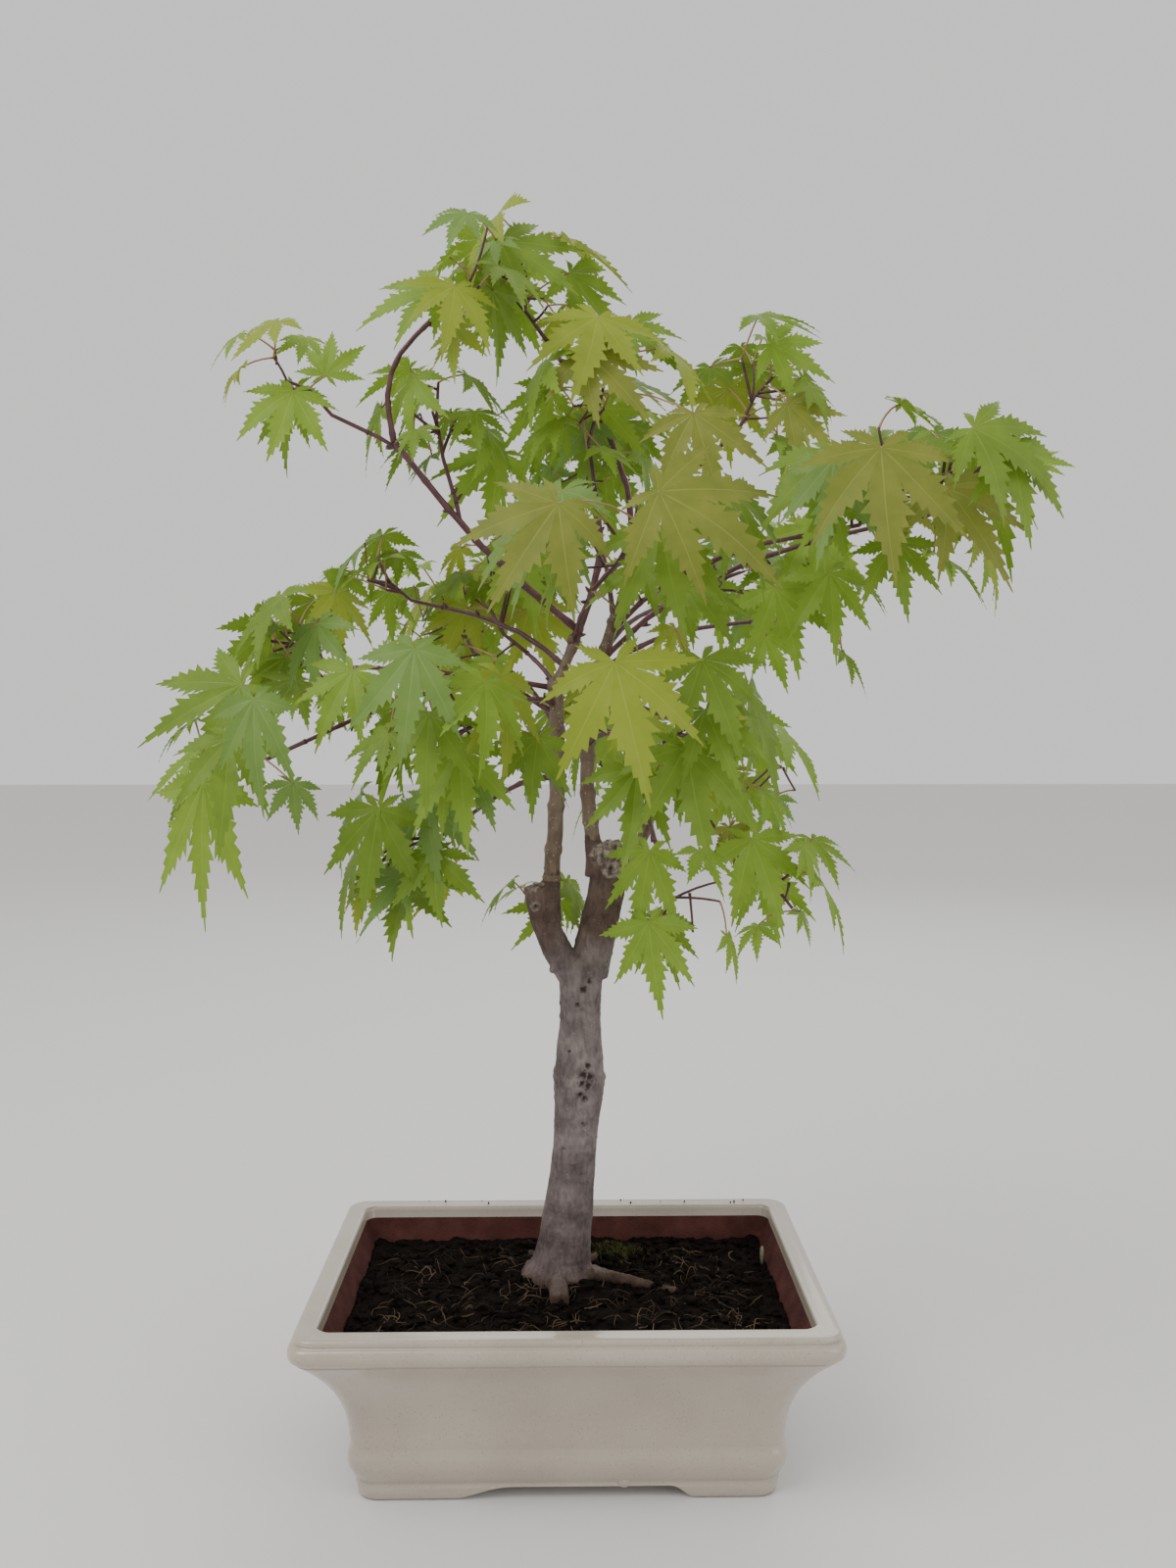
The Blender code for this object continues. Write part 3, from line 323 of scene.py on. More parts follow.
@dataclass(frozen=True)
class GrowthRule:
    """The sizes, in millimetres and shares, by which limbs, twigs and leaves grow."""

    limb_steps: int = 7
    bough_steps: int = 6
    bough_sides: int = 4
    bough_girths: tuple[float, float] = (3.0, 2.0)
    bough_rise: float = 0.5
    bough_droop: float = 0.25
    bough_stop: float = 0.55
    bough_stop_most: float = 0.6
    bough_tries: tuple[int, ...] = (0, -1, 1, -2, 2, -3, 3, -4, 4, -5)
    try_turn: float = 0.035
    stem_girth: float = 2.0
    twig_girth: float = 1.5
    petiole_girth: float = 1.2
    twig_taper: float = 0.75
    twig_sides: int = 3
    petiole_length: tuple[float, float] = (12.0, 24.0)
    petiole_swell: float = 1.15
    stem_pieces: int = 3
    stem_sides: int = 4
    stem_taper: float = 0.86
    stem_past: float = 0.45
    stem_least: float = 12.0
    shown_room: float = 1.5
    shown_roots: tuple[float, ...] = (0.2, 0.35, 0.5, 0.7, 0.85, 0.98)
    leaf_tries: int = 14
    spray_rounds: int = 3
    twig_tries: int = 8
    spray_reach: tuple[float, float] = (0.15, 0.5)
    side_spread: tuple[float, float] = (0.5, 1.3)
    end_spread: tuple[float, float] = (0.0, 0.5)
    blade_droop: tuple[float, float] = (18.0, 68.0)
    blade_roll: float = 0.45
    blade_size: tuple[float, float] = (0.82, 1.1)
    blade_spread: tuple[float, float] = (0.7, 1.0)
    margin: float = 0.45
    stalk_past: float = 1.0
    stick_past: float = 1.4
    stick_foot: float = 2.5
    leaf_margin: float = 0.014
    lobe_angles: tuple[float, ...] = (0.0, 40.0, 84.0)
    lobe_lengths: tuple[float, ...] = (1.0, 0.94, 0.74)
    notch_lengths: tuple[float, ...] = (0.36, 0.34, 0.10)
    leaf_thickness: float = 0.028
    leaf_crown: float = 0.12
    leaf_droop: float = 0.16
    finer_share: float = 1.0
    finer_depths: tuple[float, ...] = (0.0, 7.0, -7.0, 14.0, -14.0, 21.0, -21.0, 30.0, -30.0, 40.0)
    finer_tries: int = 42
    finer_girth: float = 0.9
    finer_twig: tuple[float, float] = (5.0, 24.0)
    finer_stalk: tuple[float, float] = (9.0, 19.0)
    finer_leaf: tuple[float, float] = (0.50, 0.86)


RULE = GrowthRule()


def bezier_line(start: Vector, first: Vector, second: Vector, end: Vector, count: int) -> list[Vector]:
    """Read a number of points off a cubic curve, from its start past two handles to its end."""
    points = []
    for step in range(count):
        t = step / (count - 1)
        s = 1 - t
        points.append(start * s**3 + first * 3 * s * s * t + second * 3 * s * t * t + end * t**3)
    return points


def bmesh_shape(bm: BMesh) -> Shape:
    """Read a bmesh's points and faces, and free it."""
    bmesh.ops.recalc_face_normals(bm, faces=bm.faces)
    mesh = bpy.data.meshes.new("shape")
    bm.to_mesh(mesh)
    bm.free()
    points = [vertex.co.copy() for vertex in mesh.vertices]
    faces = [tuple(face.vertices) for face in mesh.polygons]
    bpy.data.meshes.remove(mesh)
    return points, faces


def tube_shape(points: Sequence[Vector], radii: Sequence[float], sides: int) -> Shape:
    """Make the coarse tube that stands for a limb in the room tests.

    Args:
        points: The centre line.
        radii: The radius at each point.
        sides: How many sides the tube has.

    Returns:
        The tube's points and faces.
    """
    curve = bpy.data.curves.new("tube", "CURVE")
    curve.dimensions = "3D"
    curve.bevel_depth = 1.0
    curve.bevel_resolution = (sides - 4) // 2
    curve.use_fill_caps = True
    spline = curve.splines.new("POLY")
    spline.points.add(len(points) - 1)
    for spot, point, radius in zip(spline.points, points, radii):
        spot.co = (*point, 1.0)
        spot.radius = radius
    bm = settled(linked("tube", curve))
    bpy.data.curves.remove(curve)
    bmesh.ops.remove_doubles(bm, verts=bm.verts, dist=WELD)
    return bmesh_shape(bm)


@dataclass
class Branch:
    """A limb as planned: its centre line, its radius at each point and its parent."""

    name: str
    points: list[Vector]
    radii: list[float]
    sides: int
    parent: str | None

    def at(self, along: float) -> tuple[Vector, Vector]:
        """Find the point at a share of the limb's length, and the limb's direction there."""
        return along_line(self.points, along)

    def radius(self, along: float) -> float:
        """Give the limb's radius at a share of its length."""
        place = min(along, LAST_SHARE) * (len(self.points) - 1)
        index = int(place)
        return self.radii[index] + (self.radii[index + 1] - self.radii[index]) * (place - index)

    def shape(self, margin: float = 0.0, first: int = 0) -> Shape:
        """Make the coarse limb from its first point on, fatter and longer by a margin in metres."""
        points = [point.copy() for point in self.points[first:]]
        points[-1] += (points[-1] - points[-2]).normalized() * margin
        swell = margin / math.cos(math.pi / self.sides)
        return tube_shape(points, [r + swell for r in self.radii[first:]], self.sides)


class Room:
    """All shapes placed so far, to test a new one against."""

    def __init__(self) -> None:
        """Start with nothing placed."""
        self.lows = np.zeros((0, 3))
        self.highs = np.zeros((0, 3))
        self.trees: list[BVHTree] = []
        self.owners: list[str] = []

    def add(self, owner: str, points: Sequence[Vector], faces: Sequence[tuple[int, ...]]) -> None:
        """Add a shape's points and faces under the name of its limb, mass or piece."""
        cloud = np.array([tuple(point) for point in points])
        self.lows = np.vstack([self.lows, cloud.min(axis=0)])
        self.highs = np.vstack([self.highs, cloud.max(axis=0)])
        self.trees.append(BVHTree.FromPolygons(points, faces))
        self.owners.append(owner)

    def touched(
        self, points: Sequence[Vector], faces: Sequence[tuple[int, ...]], leave_out: Iterable[str] = ()
    ) -> set[str]:
        """Find the owners of what a shape would cut through.

        Args:
            points: The shape's points.
            faces: The shape's faces.
            leave_out: Owners that it may touch.

        Returns:
            The names of the owners that it touches.
        """
        cloud = np.array([tuple(point) for point in points])
        below = (self.lows < cloud.max(axis=0)).all(axis=1)
        above = (self.highs > cloud.min(axis=0)).all(axis=1)
        found: set[str] = set()
        tree = None
        for index in np.flatnonzero(below & above):
            owner = self.owners[index]
            if owner in leave_out or owner in found:
                continue
            tree = tree or BVHTree.FromPolygons(points, faces)
            if tree.overlap(self.trees[index]):
                found.add(owner)
        return found


class LimbPlan:
    """Works out the trunk, the limbs and the boughs that lead to the masses."""

    def __init__(self, room: Room) -> None:
        """Plan every limb and add it to the room."""
        self.branches: dict[str, Branch] = {"trunk": self.trunk()}
        for name, limb in LIMBS.items():
            self.branches[name] = self.limb(name, limb)
        for branch in self.branches.values():
            room.add(branch.name, *branch.shape())
        for mass_name, mass in MASSES.items():
            if mass.along is not None:
                self.branches[mass_name + "_bough"] = self.clear_bough(mass_name + "_bough", mass, room)

    def trunk(self) -> Branch:
        """Plan the trunk's centre line and girth from below the soil to its fork."""
        points = []
        for share, _ in TRUNK_GIRTHS:
            straight = vector(TRUNK_FOOT).lerp(vector(TRUNK_TOP), share)
            points.append(straight + vector(TRUNK_BOW) * math.sin(math.pi * share))
        return Branch("trunk", points, [girth / 2 * MM for _, girth in TRUNK_GIRTHS], TRUNK_SIDES, None)

    def limb(self, name: str, limb: Limb) -> Branch:
        """Plan a named limb's bowed line and taper."""
        points = []
        base, tip = (girth / 2 * MM for girth in limb.girths)
        radii = []
        for step in range(RULE.limb_steps):
            share = step / (RULE.limb_steps - 1)
            straight = vector(limb.start).lerp(vector(limb.end), share)
            points.append(straight + vector(limb.bow) * math.sin(math.pi * share))
            radii.append(base + (tip - base) * share)
        return Branch(name, points, radii, limb.sides, limb.parent)

    def bough(self, name: str, mass: Mass, along: float) -> Branch:
        """Plan a bough that rises off its parent and comes down into its mass.

        Args:
            name: The bough's name.
            mass: The mass that it carries.
            along: Where on its parent it starts.

        Returns:
            The bough.
        """
        parent = self.branches[mass.parent]
        start, _ = parent.at(along)
        centre = vector(mass.centre)
        toward = centre - start
        reach = vector(mass.reach)
        share = math.sqrt(sum((toward[i] / reach[i]) ** 2 for i in range(3)))
        end = centre - toward * min(RULE.bough_stop / share, RULE.bough_stop_most)
        span = end - start
        first = start + (span.normalized() + UP * RULE.bough_rise).normalized() * span.length / 3
        second = end - (span.normalized() - UP * RULE.bough_droop).normalized() * span.length / 3
        points = bezier_line(start, first, second, end, RULE.bough_steps)
        base, tip = (girth / 2 * MM for girth in RULE.bough_girths)
        base = min(base, 0.9 * parent.radii[-1])
        last = RULE.bough_steps - 1
        radii = [base + (tip - base) * step / last for step in range(RULE.bough_steps)]
        return Branch(name, points, radii, RULE.bough_sides, parent.name)

    def clear_bough(self, name: str, mass: Mass, room: Room) -> Branch:
        """Plan a bough where it crosses no other limb, and add it to the room."""
        for turn in RULE.bough_tries:
            along = min(max(mass.along + turn * RULE.try_turn, 0.05), 1.0)
            branch = self.bough(name, mass, along)
            guard = branch.shape(RULE.margin * MM, first=1)
            if not room.touched(*guard, leave_out=(mass.parent,)):
                break
        room.add(name, *branch.shape())
        return branch

    def carrier(self, mass_name: str) -> Branch:
        """Give the limb that carries a mass."""
        mass = MASSES[mass_name]
        return self.branches[mass.parent if mass.along is None else mass_name + "_bough"]


class CoarseShapes:
    """The plain twig and leaf that the room tests use."""

    def __init__(self) -> None:
        """Make the twig, the leaf and the leaf's guard once."""
        self.twig = self.make_twig()
        self.leaf = self.make_leaf(0.0)
        self.leaf_guard = self.make_leaf(RULE.leaf_margin)

    def make_twig(self) -> Shape:
        """Make a three-sided tapering stick of unit length and radius along +Z."""
        bm = bmesh.new()
        bmesh.ops.create_cone(
            bm, cap_ends=True, segments=RULE.twig_sides, radius1=1.0, radius2=RULE.twig_taper, depth=1.0,
        )
        bmesh.ops.translate(bm, verts=bm.verts, vec=(0.0, 0.0, 0.5))
        return bmesh_shape(bm)

    def corners(self) -> list[Vector]:
        """List the blade's tips and notches in turn, for a middle lobe of 1 along +Y."""
        angles = RULE.lobe_angles
        notches = [(one + other) / 2 for one, other in zip(angles, angles[1:])] + [180.0]
        half = []
        for tip, length, notch, depth in zip(angles, RULE.lobe_lengths, notches, RULE.notch_lengths):
            half += [(tip, length), (notch, depth)]
        corners = []
        for angle, length in half + [(-angle, length) for angle, length in reversed(half[1:-1])]:
            turn = math.radians(angle)
            drop = -RULE.leaf_droop * length * length
            corners.append(Vector((length * math.sin(turn), length * math.cos(turn), drop)))
        return corners

    def make_leaf(self, margin: float) -> Shape:
        """Make the blade as a cone whose rim is pulled out to its tips and notches."""
        corners = self.corners()
        bm = bmesh.new()
        bmesh.ops.create_cone(
            bm, cap_ends=True, cap_tris=True, segments=len(corners), radius1=1.0,
            radius2=1.0 if margin else 0.0, depth=1.0,
        )
        bmesh.ops.remove_doubles(bm, verts=bm.verts, dist=WELD)
        half = RULE.leaf_thickness / 2 + margin
        for vertex in bm.verts:
            side = 1.0 if vertex.co.z > 0 else -1.0
            if vertex.co.xy.length < 0.5:
                crown = RULE.leaf_crown
                vertex.co = (0.0, crown, side * half - RULE.leaf_droop * crown**2)
                continue
            turn = math.atan2(vertex.co.x, vertex.co.y) % (2 * math.pi)
            corner = corners[round(turn * len(corners) / (2 * math.pi)) % len(corners)]
            vertex.co = corner * (1.0 + margin) + UP * side * margin
        return bmesh_shape(bm)


def twig_matrix(start: Vector, end: Vector, girth: float, overlap: float = 0.0) -> Matrix:
    """Place a unit stick from start to end, with a girth and a run past its end in millimetres."""
    axis = end - start
    turn = axis.to_track_quat("Z", "Y").to_matrix().to_4x4()
    size = Matrix.Diagonal((girth / 2 * MM, girth / 2 * MM, axis.length + overlap * MM, 1.0))
    return Matrix.Translation(start) @ turn @ size


def leaf_matrix(hub: Vector, axis: Vector, normal: Vector, length: float, spread: float) -> Matrix:
    """Place a unit blade.

    Args:
        hub: Where the stalk meets the blade.
        axis: The way that the middle lobe points.
        normal: The way that the blade faces.
        length: The middle lobe in millimetres.
        spread: How open the blade is across its middle lobe.

    Returns:
        The matrix that places the blade.
    """
    side = axis.cross(normal).normalized()
    face = side.cross(axis).normalized()
    turn = Matrix((side * spread, axis, face)).transposed().to_4x4()
    return Matrix.Translation(hub) @ turn @ Matrix.Scale(length * MM, 4)


def moved(shape: Shape, matrix: Matrix) -> Shape:
    """Give a shape's points and faces after a move."""
    points, faces = shape
    return [matrix @ point for point in points], faces


def random_unit(rng: random.Random) -> Vector:
    """Draw a direction evenly from all."""
    height = rng.uniform(-1, 1)
    angle = rng.uniform(0, 2 * math.pi)
    flat = math.sqrt(1 - height * height)
    return Vector((flat * math.cos(angle), flat * math.sin(angle), height))


@dataclass
class Stick:
    """A stem, twig or leaf stalk: its centre line and both radii in metres."""

    points: list[Vector]
    base: float
    tip: float
    kind: str


@dataclass
class Blade:
    """A leaf's place, its tone and a number of its own for small differences."""

    matrix: Matrix
    tone: LeafTone
    number: int


class MassGrower:
    """Grows one mass from its bough's tip by the seeded rule, then its finer twigs."""

    def __init__(self, name: str, room: Room, carrier: Branch, coarse: CoarseShapes) -> None:
        """Take a mass's name, the room, the limb that carries it and the coarse shapes."""
        self.name = name
        self.mass = MASSES[name]
        self.room = room
        self.coarse = coarse
        self.rng = random.Random(self.mass.seed)
        self.looks = random.Random(self.mass.seed + 1000)
        self.centre = vector(self.mass.centre)
        self.tip, self.heading = carrier.at(1.0)
        self.own = Room()
        self.sticks: list[Stick] = []
        self.blades: list[Blade] = []
        self.line: list[Vector] = []
        self.shoots: list[tuple[str, Vector, Vector]] = []
        self.leaves = 0

    def inside(self, points: Iterable[Vector], room: float = 1.0) -> bool:
        """Say whether all points are in the mass's own space."""
        for point in points:
            offset = point - self.centre
            if sum((offset[i] / (self.mass.reach[i] * MM)) ** 2 for i in range(3)) > room * room:
                return False
        return True

    def place(self, label: str, shape: Shape) -> None:
        """Keep a coarse stem, twig, stalk or leaf for later tests."""
        self.own.add(label, *shape)
        self.room.add(self.name, *shape)

    def grow_stem(self) -> None:
        """Grow the one stem off the bough's tip and through the centre."""
        start = self.tip + self.heading * CLEAR
        beyond = (self.centre - start) * RULE.stem_past
        if beyond.length < RULE.stem_least * MM:
            beyond = self.heading * RULE.stem_least * MM
        end = self.centre + beyond
        span = (end - start).length
        first = start + self.heading * span * 0.4
        second = end + (UP * 0.12 - beyond.normalized() * 0.3) * span
        line = bezier_line(start, first, second, end, RULE.stem_pieces + 1)
        line[1] = start + self.heading * (line[1] - start).length
        base = RULE.stem_girth / 2 * MM
        radii = [base * RULE.stem_taper**index for index in range(RULE.stem_pieces + 1)]
        self.place("stem", tube_shape(line, radii, RULE.stem_sides))
        self.line = line
        self.sticks.append(Stick([self.tip - self.heading * 2 * MM, *line], radii[0], radii[-1], "stem"))

    def stem_point(self, along: float) -> tuple[Vector, Vector]:
        """Find a point on the stem and its direction there."""
        return along_line(self.line, along)

    def clear(self, shape: Shape) -> bool:
        """Say whether a shape touches nothing placed, in this mass or elsewhere."""
        if self.room.touched(*shape, leave_out=(self.name,)):
            return False
        return not self.own.touched(*shape)

    def stick_clear(self, root: Vector, end: Vector, girth: float, parent: str) -> bool:
        """Say whether a twig or stalk has room, past its foot as far as its own mass goes."""
        direction = (end - root).normalized()
        girth += 2 * RULE.margin
        whole = moved(self.coarse.twig, twig_matrix(root, end, girth, RULE.stick_past))
        if self.room.touched(*whole, leave_out=(self.name,)):
            return False
        foot = root + direction * RULE.stick_foot * MM
        past_foot = moved(self.coarse.twig, twig_matrix(foot, end, girth, RULE.stick_past))
        return not self.own.touched(*past_foot, leave_out=(parent,))

    def grow_leaf(
        self, root: Vector, hub: Vector, blade: Matrix, girth: float, parent: str,
        tone: LeafTone, room: float = 1.0,
    ) -> bool:
        """Grow a leaf and its stalk, if there is room for both.

        Args:
            root: Where the stalk leaves its twig.
            hub: Where it meets the blade.
            blade: The blade's place.
            girth: The stalk's diameter in millimetres.
            parent: The piece that the stalk grows on.
            tone: The leaf's colour.
            room: How far the blade may reach, against the mass's own space.

        Returns:
            Whether it grew.
        """
        guard = moved(self.coarse.leaf_guard, blade)
        if not self.inside(guard[0], room) or not self.clear(guard):
            return False
        if not self.stick_clear(root, hub, girth, parent):
            return False
        stalk = twig_matrix(root, hub, girth * RULE.petiole_swell, RULE.stalk_past)
        label = f"leaf{self.leaves}"
        self.place(label, moved(self.coarse.leaf, blade))
        self.place(label + "_stalk", moved(self.coarse.twig, stalk))
        self.keep_leaf(root, hub, blade, tone)
        self.leaves += 1
        return True

    def keep_leaf(self, root: Vector, hub: Vector, blade: Matrix, tone: LeafTone) -> None:
        """Keep a grown leaf's blade and its sagging stalk for the fine meshes."""
        self.blades.append(Blade(blade, tone, self.looks.randrange(1000)))
        sag = UP * (hub - root).length * self.looks.uniform(0.02, 0.10)
        side = random_unit(self.looks) * (hub - root).length * 0.04
        middle = root.lerp(hub, 0.5) + sag + side
        self.sticks.append(Stick([root, middle, hub], 0.42 * MM, 0.34 * MM, "petiole"))

    def grow_shown(self, leaves: Sequence[Shown], depths: Sequence[float] = (0.0,)) -> None:
        """Grow the mass's own named leaves, each at the first depth along the view with room."""
        for shown in leaves:
            if shown.mass == self.name and not any(self.grow_named(shown, depth) for depth in depths):
                LOG.info("%s: a named leaf has no room", self.name)

    def grow_named(self, shown: Shown, depth: float) -> bool:
        """Grow one named leaf from the nearest foot that has a clear way to it."""
        hub = vector(shown.hub)
        hub += (hub - CAMERA_PLACE).normalized() * depth * MM
        turn = math.radians(shown.turn)
        lean = math.radians(shown.lean)
        normal = Vector((0.0, -math.cos(lean), math.sin(lean)))
        axis = Vector((math.sin(turn), -math.cos(turn) * math.tan(lean), -math.cos(turn)))
        blade = leaf_matrix(hub, axis.normalized(), normal, shown.length, shown.spread)
        roots = [("stem", self.stem_point(along)[0]) for along in RULE.shown_roots]
        roots += [(label, joint) for label, _, joint in self.shoots]
        return any(
            self.grow_leaf(root, hub, blade, RULE.twig_girth, parent, shown.tone, RULE.shown_room)
            for parent, root in sorted(roots, key=lambda foot: (foot[1] - hub).length)
        )

    def grow_spray(self, index: int, count: int, label: str) -> None:
        """Grow a side twig with an opposite pair of leaves at its end."""
        rng = self.rng
        reach = sum(self.mass.reach) / 3 * MM
        for _ in range(RULE.twig_tries):
            along = 0.25 + 0.75 * (index + 1) / count + rng.uniform(-0.08, 0.08)
            root, forward = self.stem_point(min(along, 0.99))
            turn = Matrix.Rotation(GOLDEN_ANGLE * index + rng.uniform(-0.6, 0.6), 3, forward)
            side = turn @ forward.orthogonal().normalized()
            spread = rng.uniform(*(RULE.side_spread if index + 1 < count else RULE.end_spread))
            direction = (forward + side * spread + UP * 0.15).normalized()
            joint = root + direction * reach * rng.uniform(*RULE.spray_reach)
            if self.inside([joint]) and self.stick_clear(root, joint, RULE.twig_girth, "stem"):
                break
        else:
            return
        self.place(label, moved(self.coarse.twig, twig_matrix(root, joint, RULE.twig_girth, 0.4)))
        twig = Stick([root, root.lerp(joint, 0.5), joint], 0.75 * MM, 0.6 * MM, "twig")
        tone = self.draw_tone()
        across = direction.cross(UP)
        across = across.normalized() if across.length > 0.2 else direction.orthogonal().normalized()
        across = Matrix.Rotation(rng.uniform(-0.7, 0.7), 3, direction) @ across
        self.shoots.append((label, root, joint))
        grown = 0
        for sign in (1, -1):
            for _ in range(RULE.leaf_tries):
                if self.leaves >= self.mass.leaves:
                    break
                out = direction * rng.uniform(0.2, 0.9) + across * sign + random_unit(rng) * 0.5
                out = (out + UP * rng.uniform(0.0, 0.4)).normalized()
                hub = joint + out * rng.uniform(*RULE.petiole_length) * MM
                if self.draw_blade(joint, hub, out, label, tone):
                    grown += 1
                    break
        if grown:
            self.sticks.append(twig)

    def draw_tone(self) -> LeafTone:
        """Deal a spray its tone."""
        tones = [LeafTone.GREEN, LeafTone.FRESH, LeafTone.YELLOW, LeafTone.BLUISH, LeafTone.BRONZE]
        return self.looks.choices(tones, (42, 34, 12, 7, 5))[0]

    def draw_blade(
        self, root: Vector, hub: Vector, out: Vector, label: str, tone: LeafTone, size: float = 1.0
    ) -> bool:
        """Draw how a blade hangs off its stalk, and grow it if there is room."""
        rng = self.rng
        away = (hub - self.centre).normalized()
        level = out * 0.6 + away * 0.6 + FRONT * 0.25 + random_unit(rng) * 0.4
        level = Vector((hub.x, hub.y * 1.2, 0.0)).normalized() * 0.6 + level
        level.z = 0.0
        if level.length < 0.1:
            return False
        level.normalize()
        droop = math.radians(rng.uniform(*RULE.blade_droop))
        axis = level * math.cos(droop) - UP * math.sin(droop)
        normal = level * math.sin(droop) + UP * math.cos(droop)
        normal = Matrix.Rotation(rng.uniform(-RULE.blade_roll, RULE.blade_roll), 3, axis) @ normal
        length = self.mass.length * rng.uniform(*RULE.blade_size) * size
        blade = leaf_matrix(hub, axis, normal, length, rng.uniform(*RULE.blade_spread))
        return self.grow_leaf(root, hub, blade, RULE.petiole_girth, label, tone)

    def grow_sprays(self) -> None:
        """Grow sprays up the stem until the mass has its leaves."""
        count = max(2, math.ceil((self.mass.leaves - self.leaves) / 2) + 1)
        for index in range(RULE.spray_rounds * count):
            if self.leaves >= self.mass.leaves:
                break
            self.grow_spray(index % count, count, f"spray{index}")

    def grow_finer(self) -> None:
        """Carry the rule on: short side shoots with pairs of smaller leaves in the room that is left."""
        rng = self.rng
        wanted = self.leaves + round(self.mass.leaves * RULE.finer_share)
        for index in range(RULE.finer_tries * self.mass.leaves):
            if self.leaves >= wanted:
                return
            if self.shoots and rng.random() < 0.6:
                parent, foot, end = rng.choice(self.shoots)
                root = foot.lerp(end, rng.uniform(0.35, 1.0))
                forward = (end - foot).normalized()
            else:
                parent = "stem"
                root, forward = self.stem_point(rng.uniform(0.1, 0.99))
            outward = (root - self.centre) / (sum(self.mass.reach) / 3 * MM)
            direction = (forward * 0.5 + random_unit(rng) + outward * 0.5 + UP * 0.1).normalized()
            joint = root + direction * rng.uniform(*RULE.finer_twig) * MM
            if self.inside([joint]) and self.stick_clear(root, joint, RULE.finer_girth, parent):
                self.grow_finer_pair(f"finer{index}", root, joint, direction)

    def grow_finer_pair(self, label: str, root: Vector, joint: Vector, direction: Vector) -> None:
        """Grow the leaves of one short shoot, and keep the shoot if any grew.

        Args:
            label: The shoot's name.
            root: Its foot.
            joint: Its end.
            direction: The way that it grows.
        """
        rng = self.rng
        tone = self.draw_tone()
        across = Matrix.Rotation(rng.uniform(0, math.pi), 3, direction) @ direction.orthogonal().normalized()
        grown = 0
        for sign in (1, -1):
            for _ in range(RULE.bough_steps):
                out = direction * rng.uniform(0.1, 0.9) + across * sign + random_unit(rng) * 0.6
                out.normalize()
                hub = joint + out * rng.uniform(*RULE.finer_stalk) * MM
                if self.draw_blade(joint, hub, out, label, tone, rng.uniform(*RULE.finer_leaf)):
                    grown += 1
                    break
        if not grown:
            return
        self.place(label, moved(self.coarse.twig, twig_matrix(root, joint, RULE.finer_girth, 0.4)))
        self.shoots.append((label, root, joint))
        bend = random_unit(rng) * (joint - root).length * 0.06
        self.sticks.append(Stick([root, root.lerp(joint, 0.5) + bend, joint], 0.6 * MM, 0.45 * MM, "twig"))


class Bench:
    """Adds nodes to one tree, sets their sockets and links them."""

    def __init__(self, tree: bpy.types.NodeTree) -> None:
        """Take the tree to work on."""
        self.tree = tree

    def add(self, kind: str, inputs: dict | None = None, **settings: object) -> bpy.types.Node:
        """Add a node.

        Args:
            kind: The node's type name.
            inputs: Values or sockets for its inputs, by name or index.
            settings: The node's own properties.

        Returns:
            The new node.
        """
        node = self.tree.nodes.new(kind)
        for name, value in settings.items():
            setattr(node, name, value)
        self.put(node, inputs or {})
        return node

    def put(self, node: bpy.types.Node, inputs: dict) -> None:
        """Set a node's inputs, by name or index, to values or link them to sockets."""
        for name, value in inputs.items():
            if isinstance(value, Socket):
                self.tree.links.new(value, node.inputs[name])
            elif isinstance(value, tuple) and len(value) == 3 and node.inputs[name].type == "RGBA":
                node.inputs[name].default_value = (*value, 1.0)
            else:
                node.inputs[name].default_value = value

    def calc(self, operation: str, first: Socket | float, second: Socket | float) -> Socket:
        """Add a math node and give its value."""
        return self.add("ShaderNodeMath", {0: first, 1: second}, operation=operation).outputs[0]

    def noise(self, vector: Socket, scale: float, detail: float = 3.0) -> Socket:
        """Add a noise texture and give its value."""
        node = self.add("ShaderNodeTexNoise", {"Vector": vector, "Scale": scale, "Detail": detail})
        return node.outputs["Fac"]

    def span(
        self, value: Socket, low: float, high: float, to_low: float = 0.0, to_high: float = 1.0
    ) -> Socket:
        """Stretch a value from one range to another, clamped."""
        node = self.add(
            "ShaderNodeMapRange",
            {"Value": value, "From Min": low, "From Max": high, "To Min": to_low, "To Max": to_high},
        )
        return node.outputs["Result"]

    def blend(
        self, mask: Socket | float, low: object, high: object, mode: str = "MIX"
    ) -> Socket:
        """Mix two colours by a mask."""
        inputs = {0: mask, 6: low, 7: high}
        return self.add("ShaderNodeMix", inputs, data_type="RGBA", blend_type=mode).outputs[2]

    def bump(self, height: Socket, distance: float, strength: float = 1.0) -> Socket:
        """Add a bump node and give its normal."""
        node = self.add("ShaderNodeBump", {"Height": height, "Distance": distance, "Strength": strength})
        return node.outputs["Normal"]

    def mark(self, name: str) -> Socket:
        """Give a value that the mesh carries."""
        return self.add("ShaderNodeAttribute", attribute_name=name).outputs["Fac"]

    def place(self) -> Socket:
        """Give the Object coordinates."""
        return self.add("ShaderNodeTexCoord").outputs["Object"]


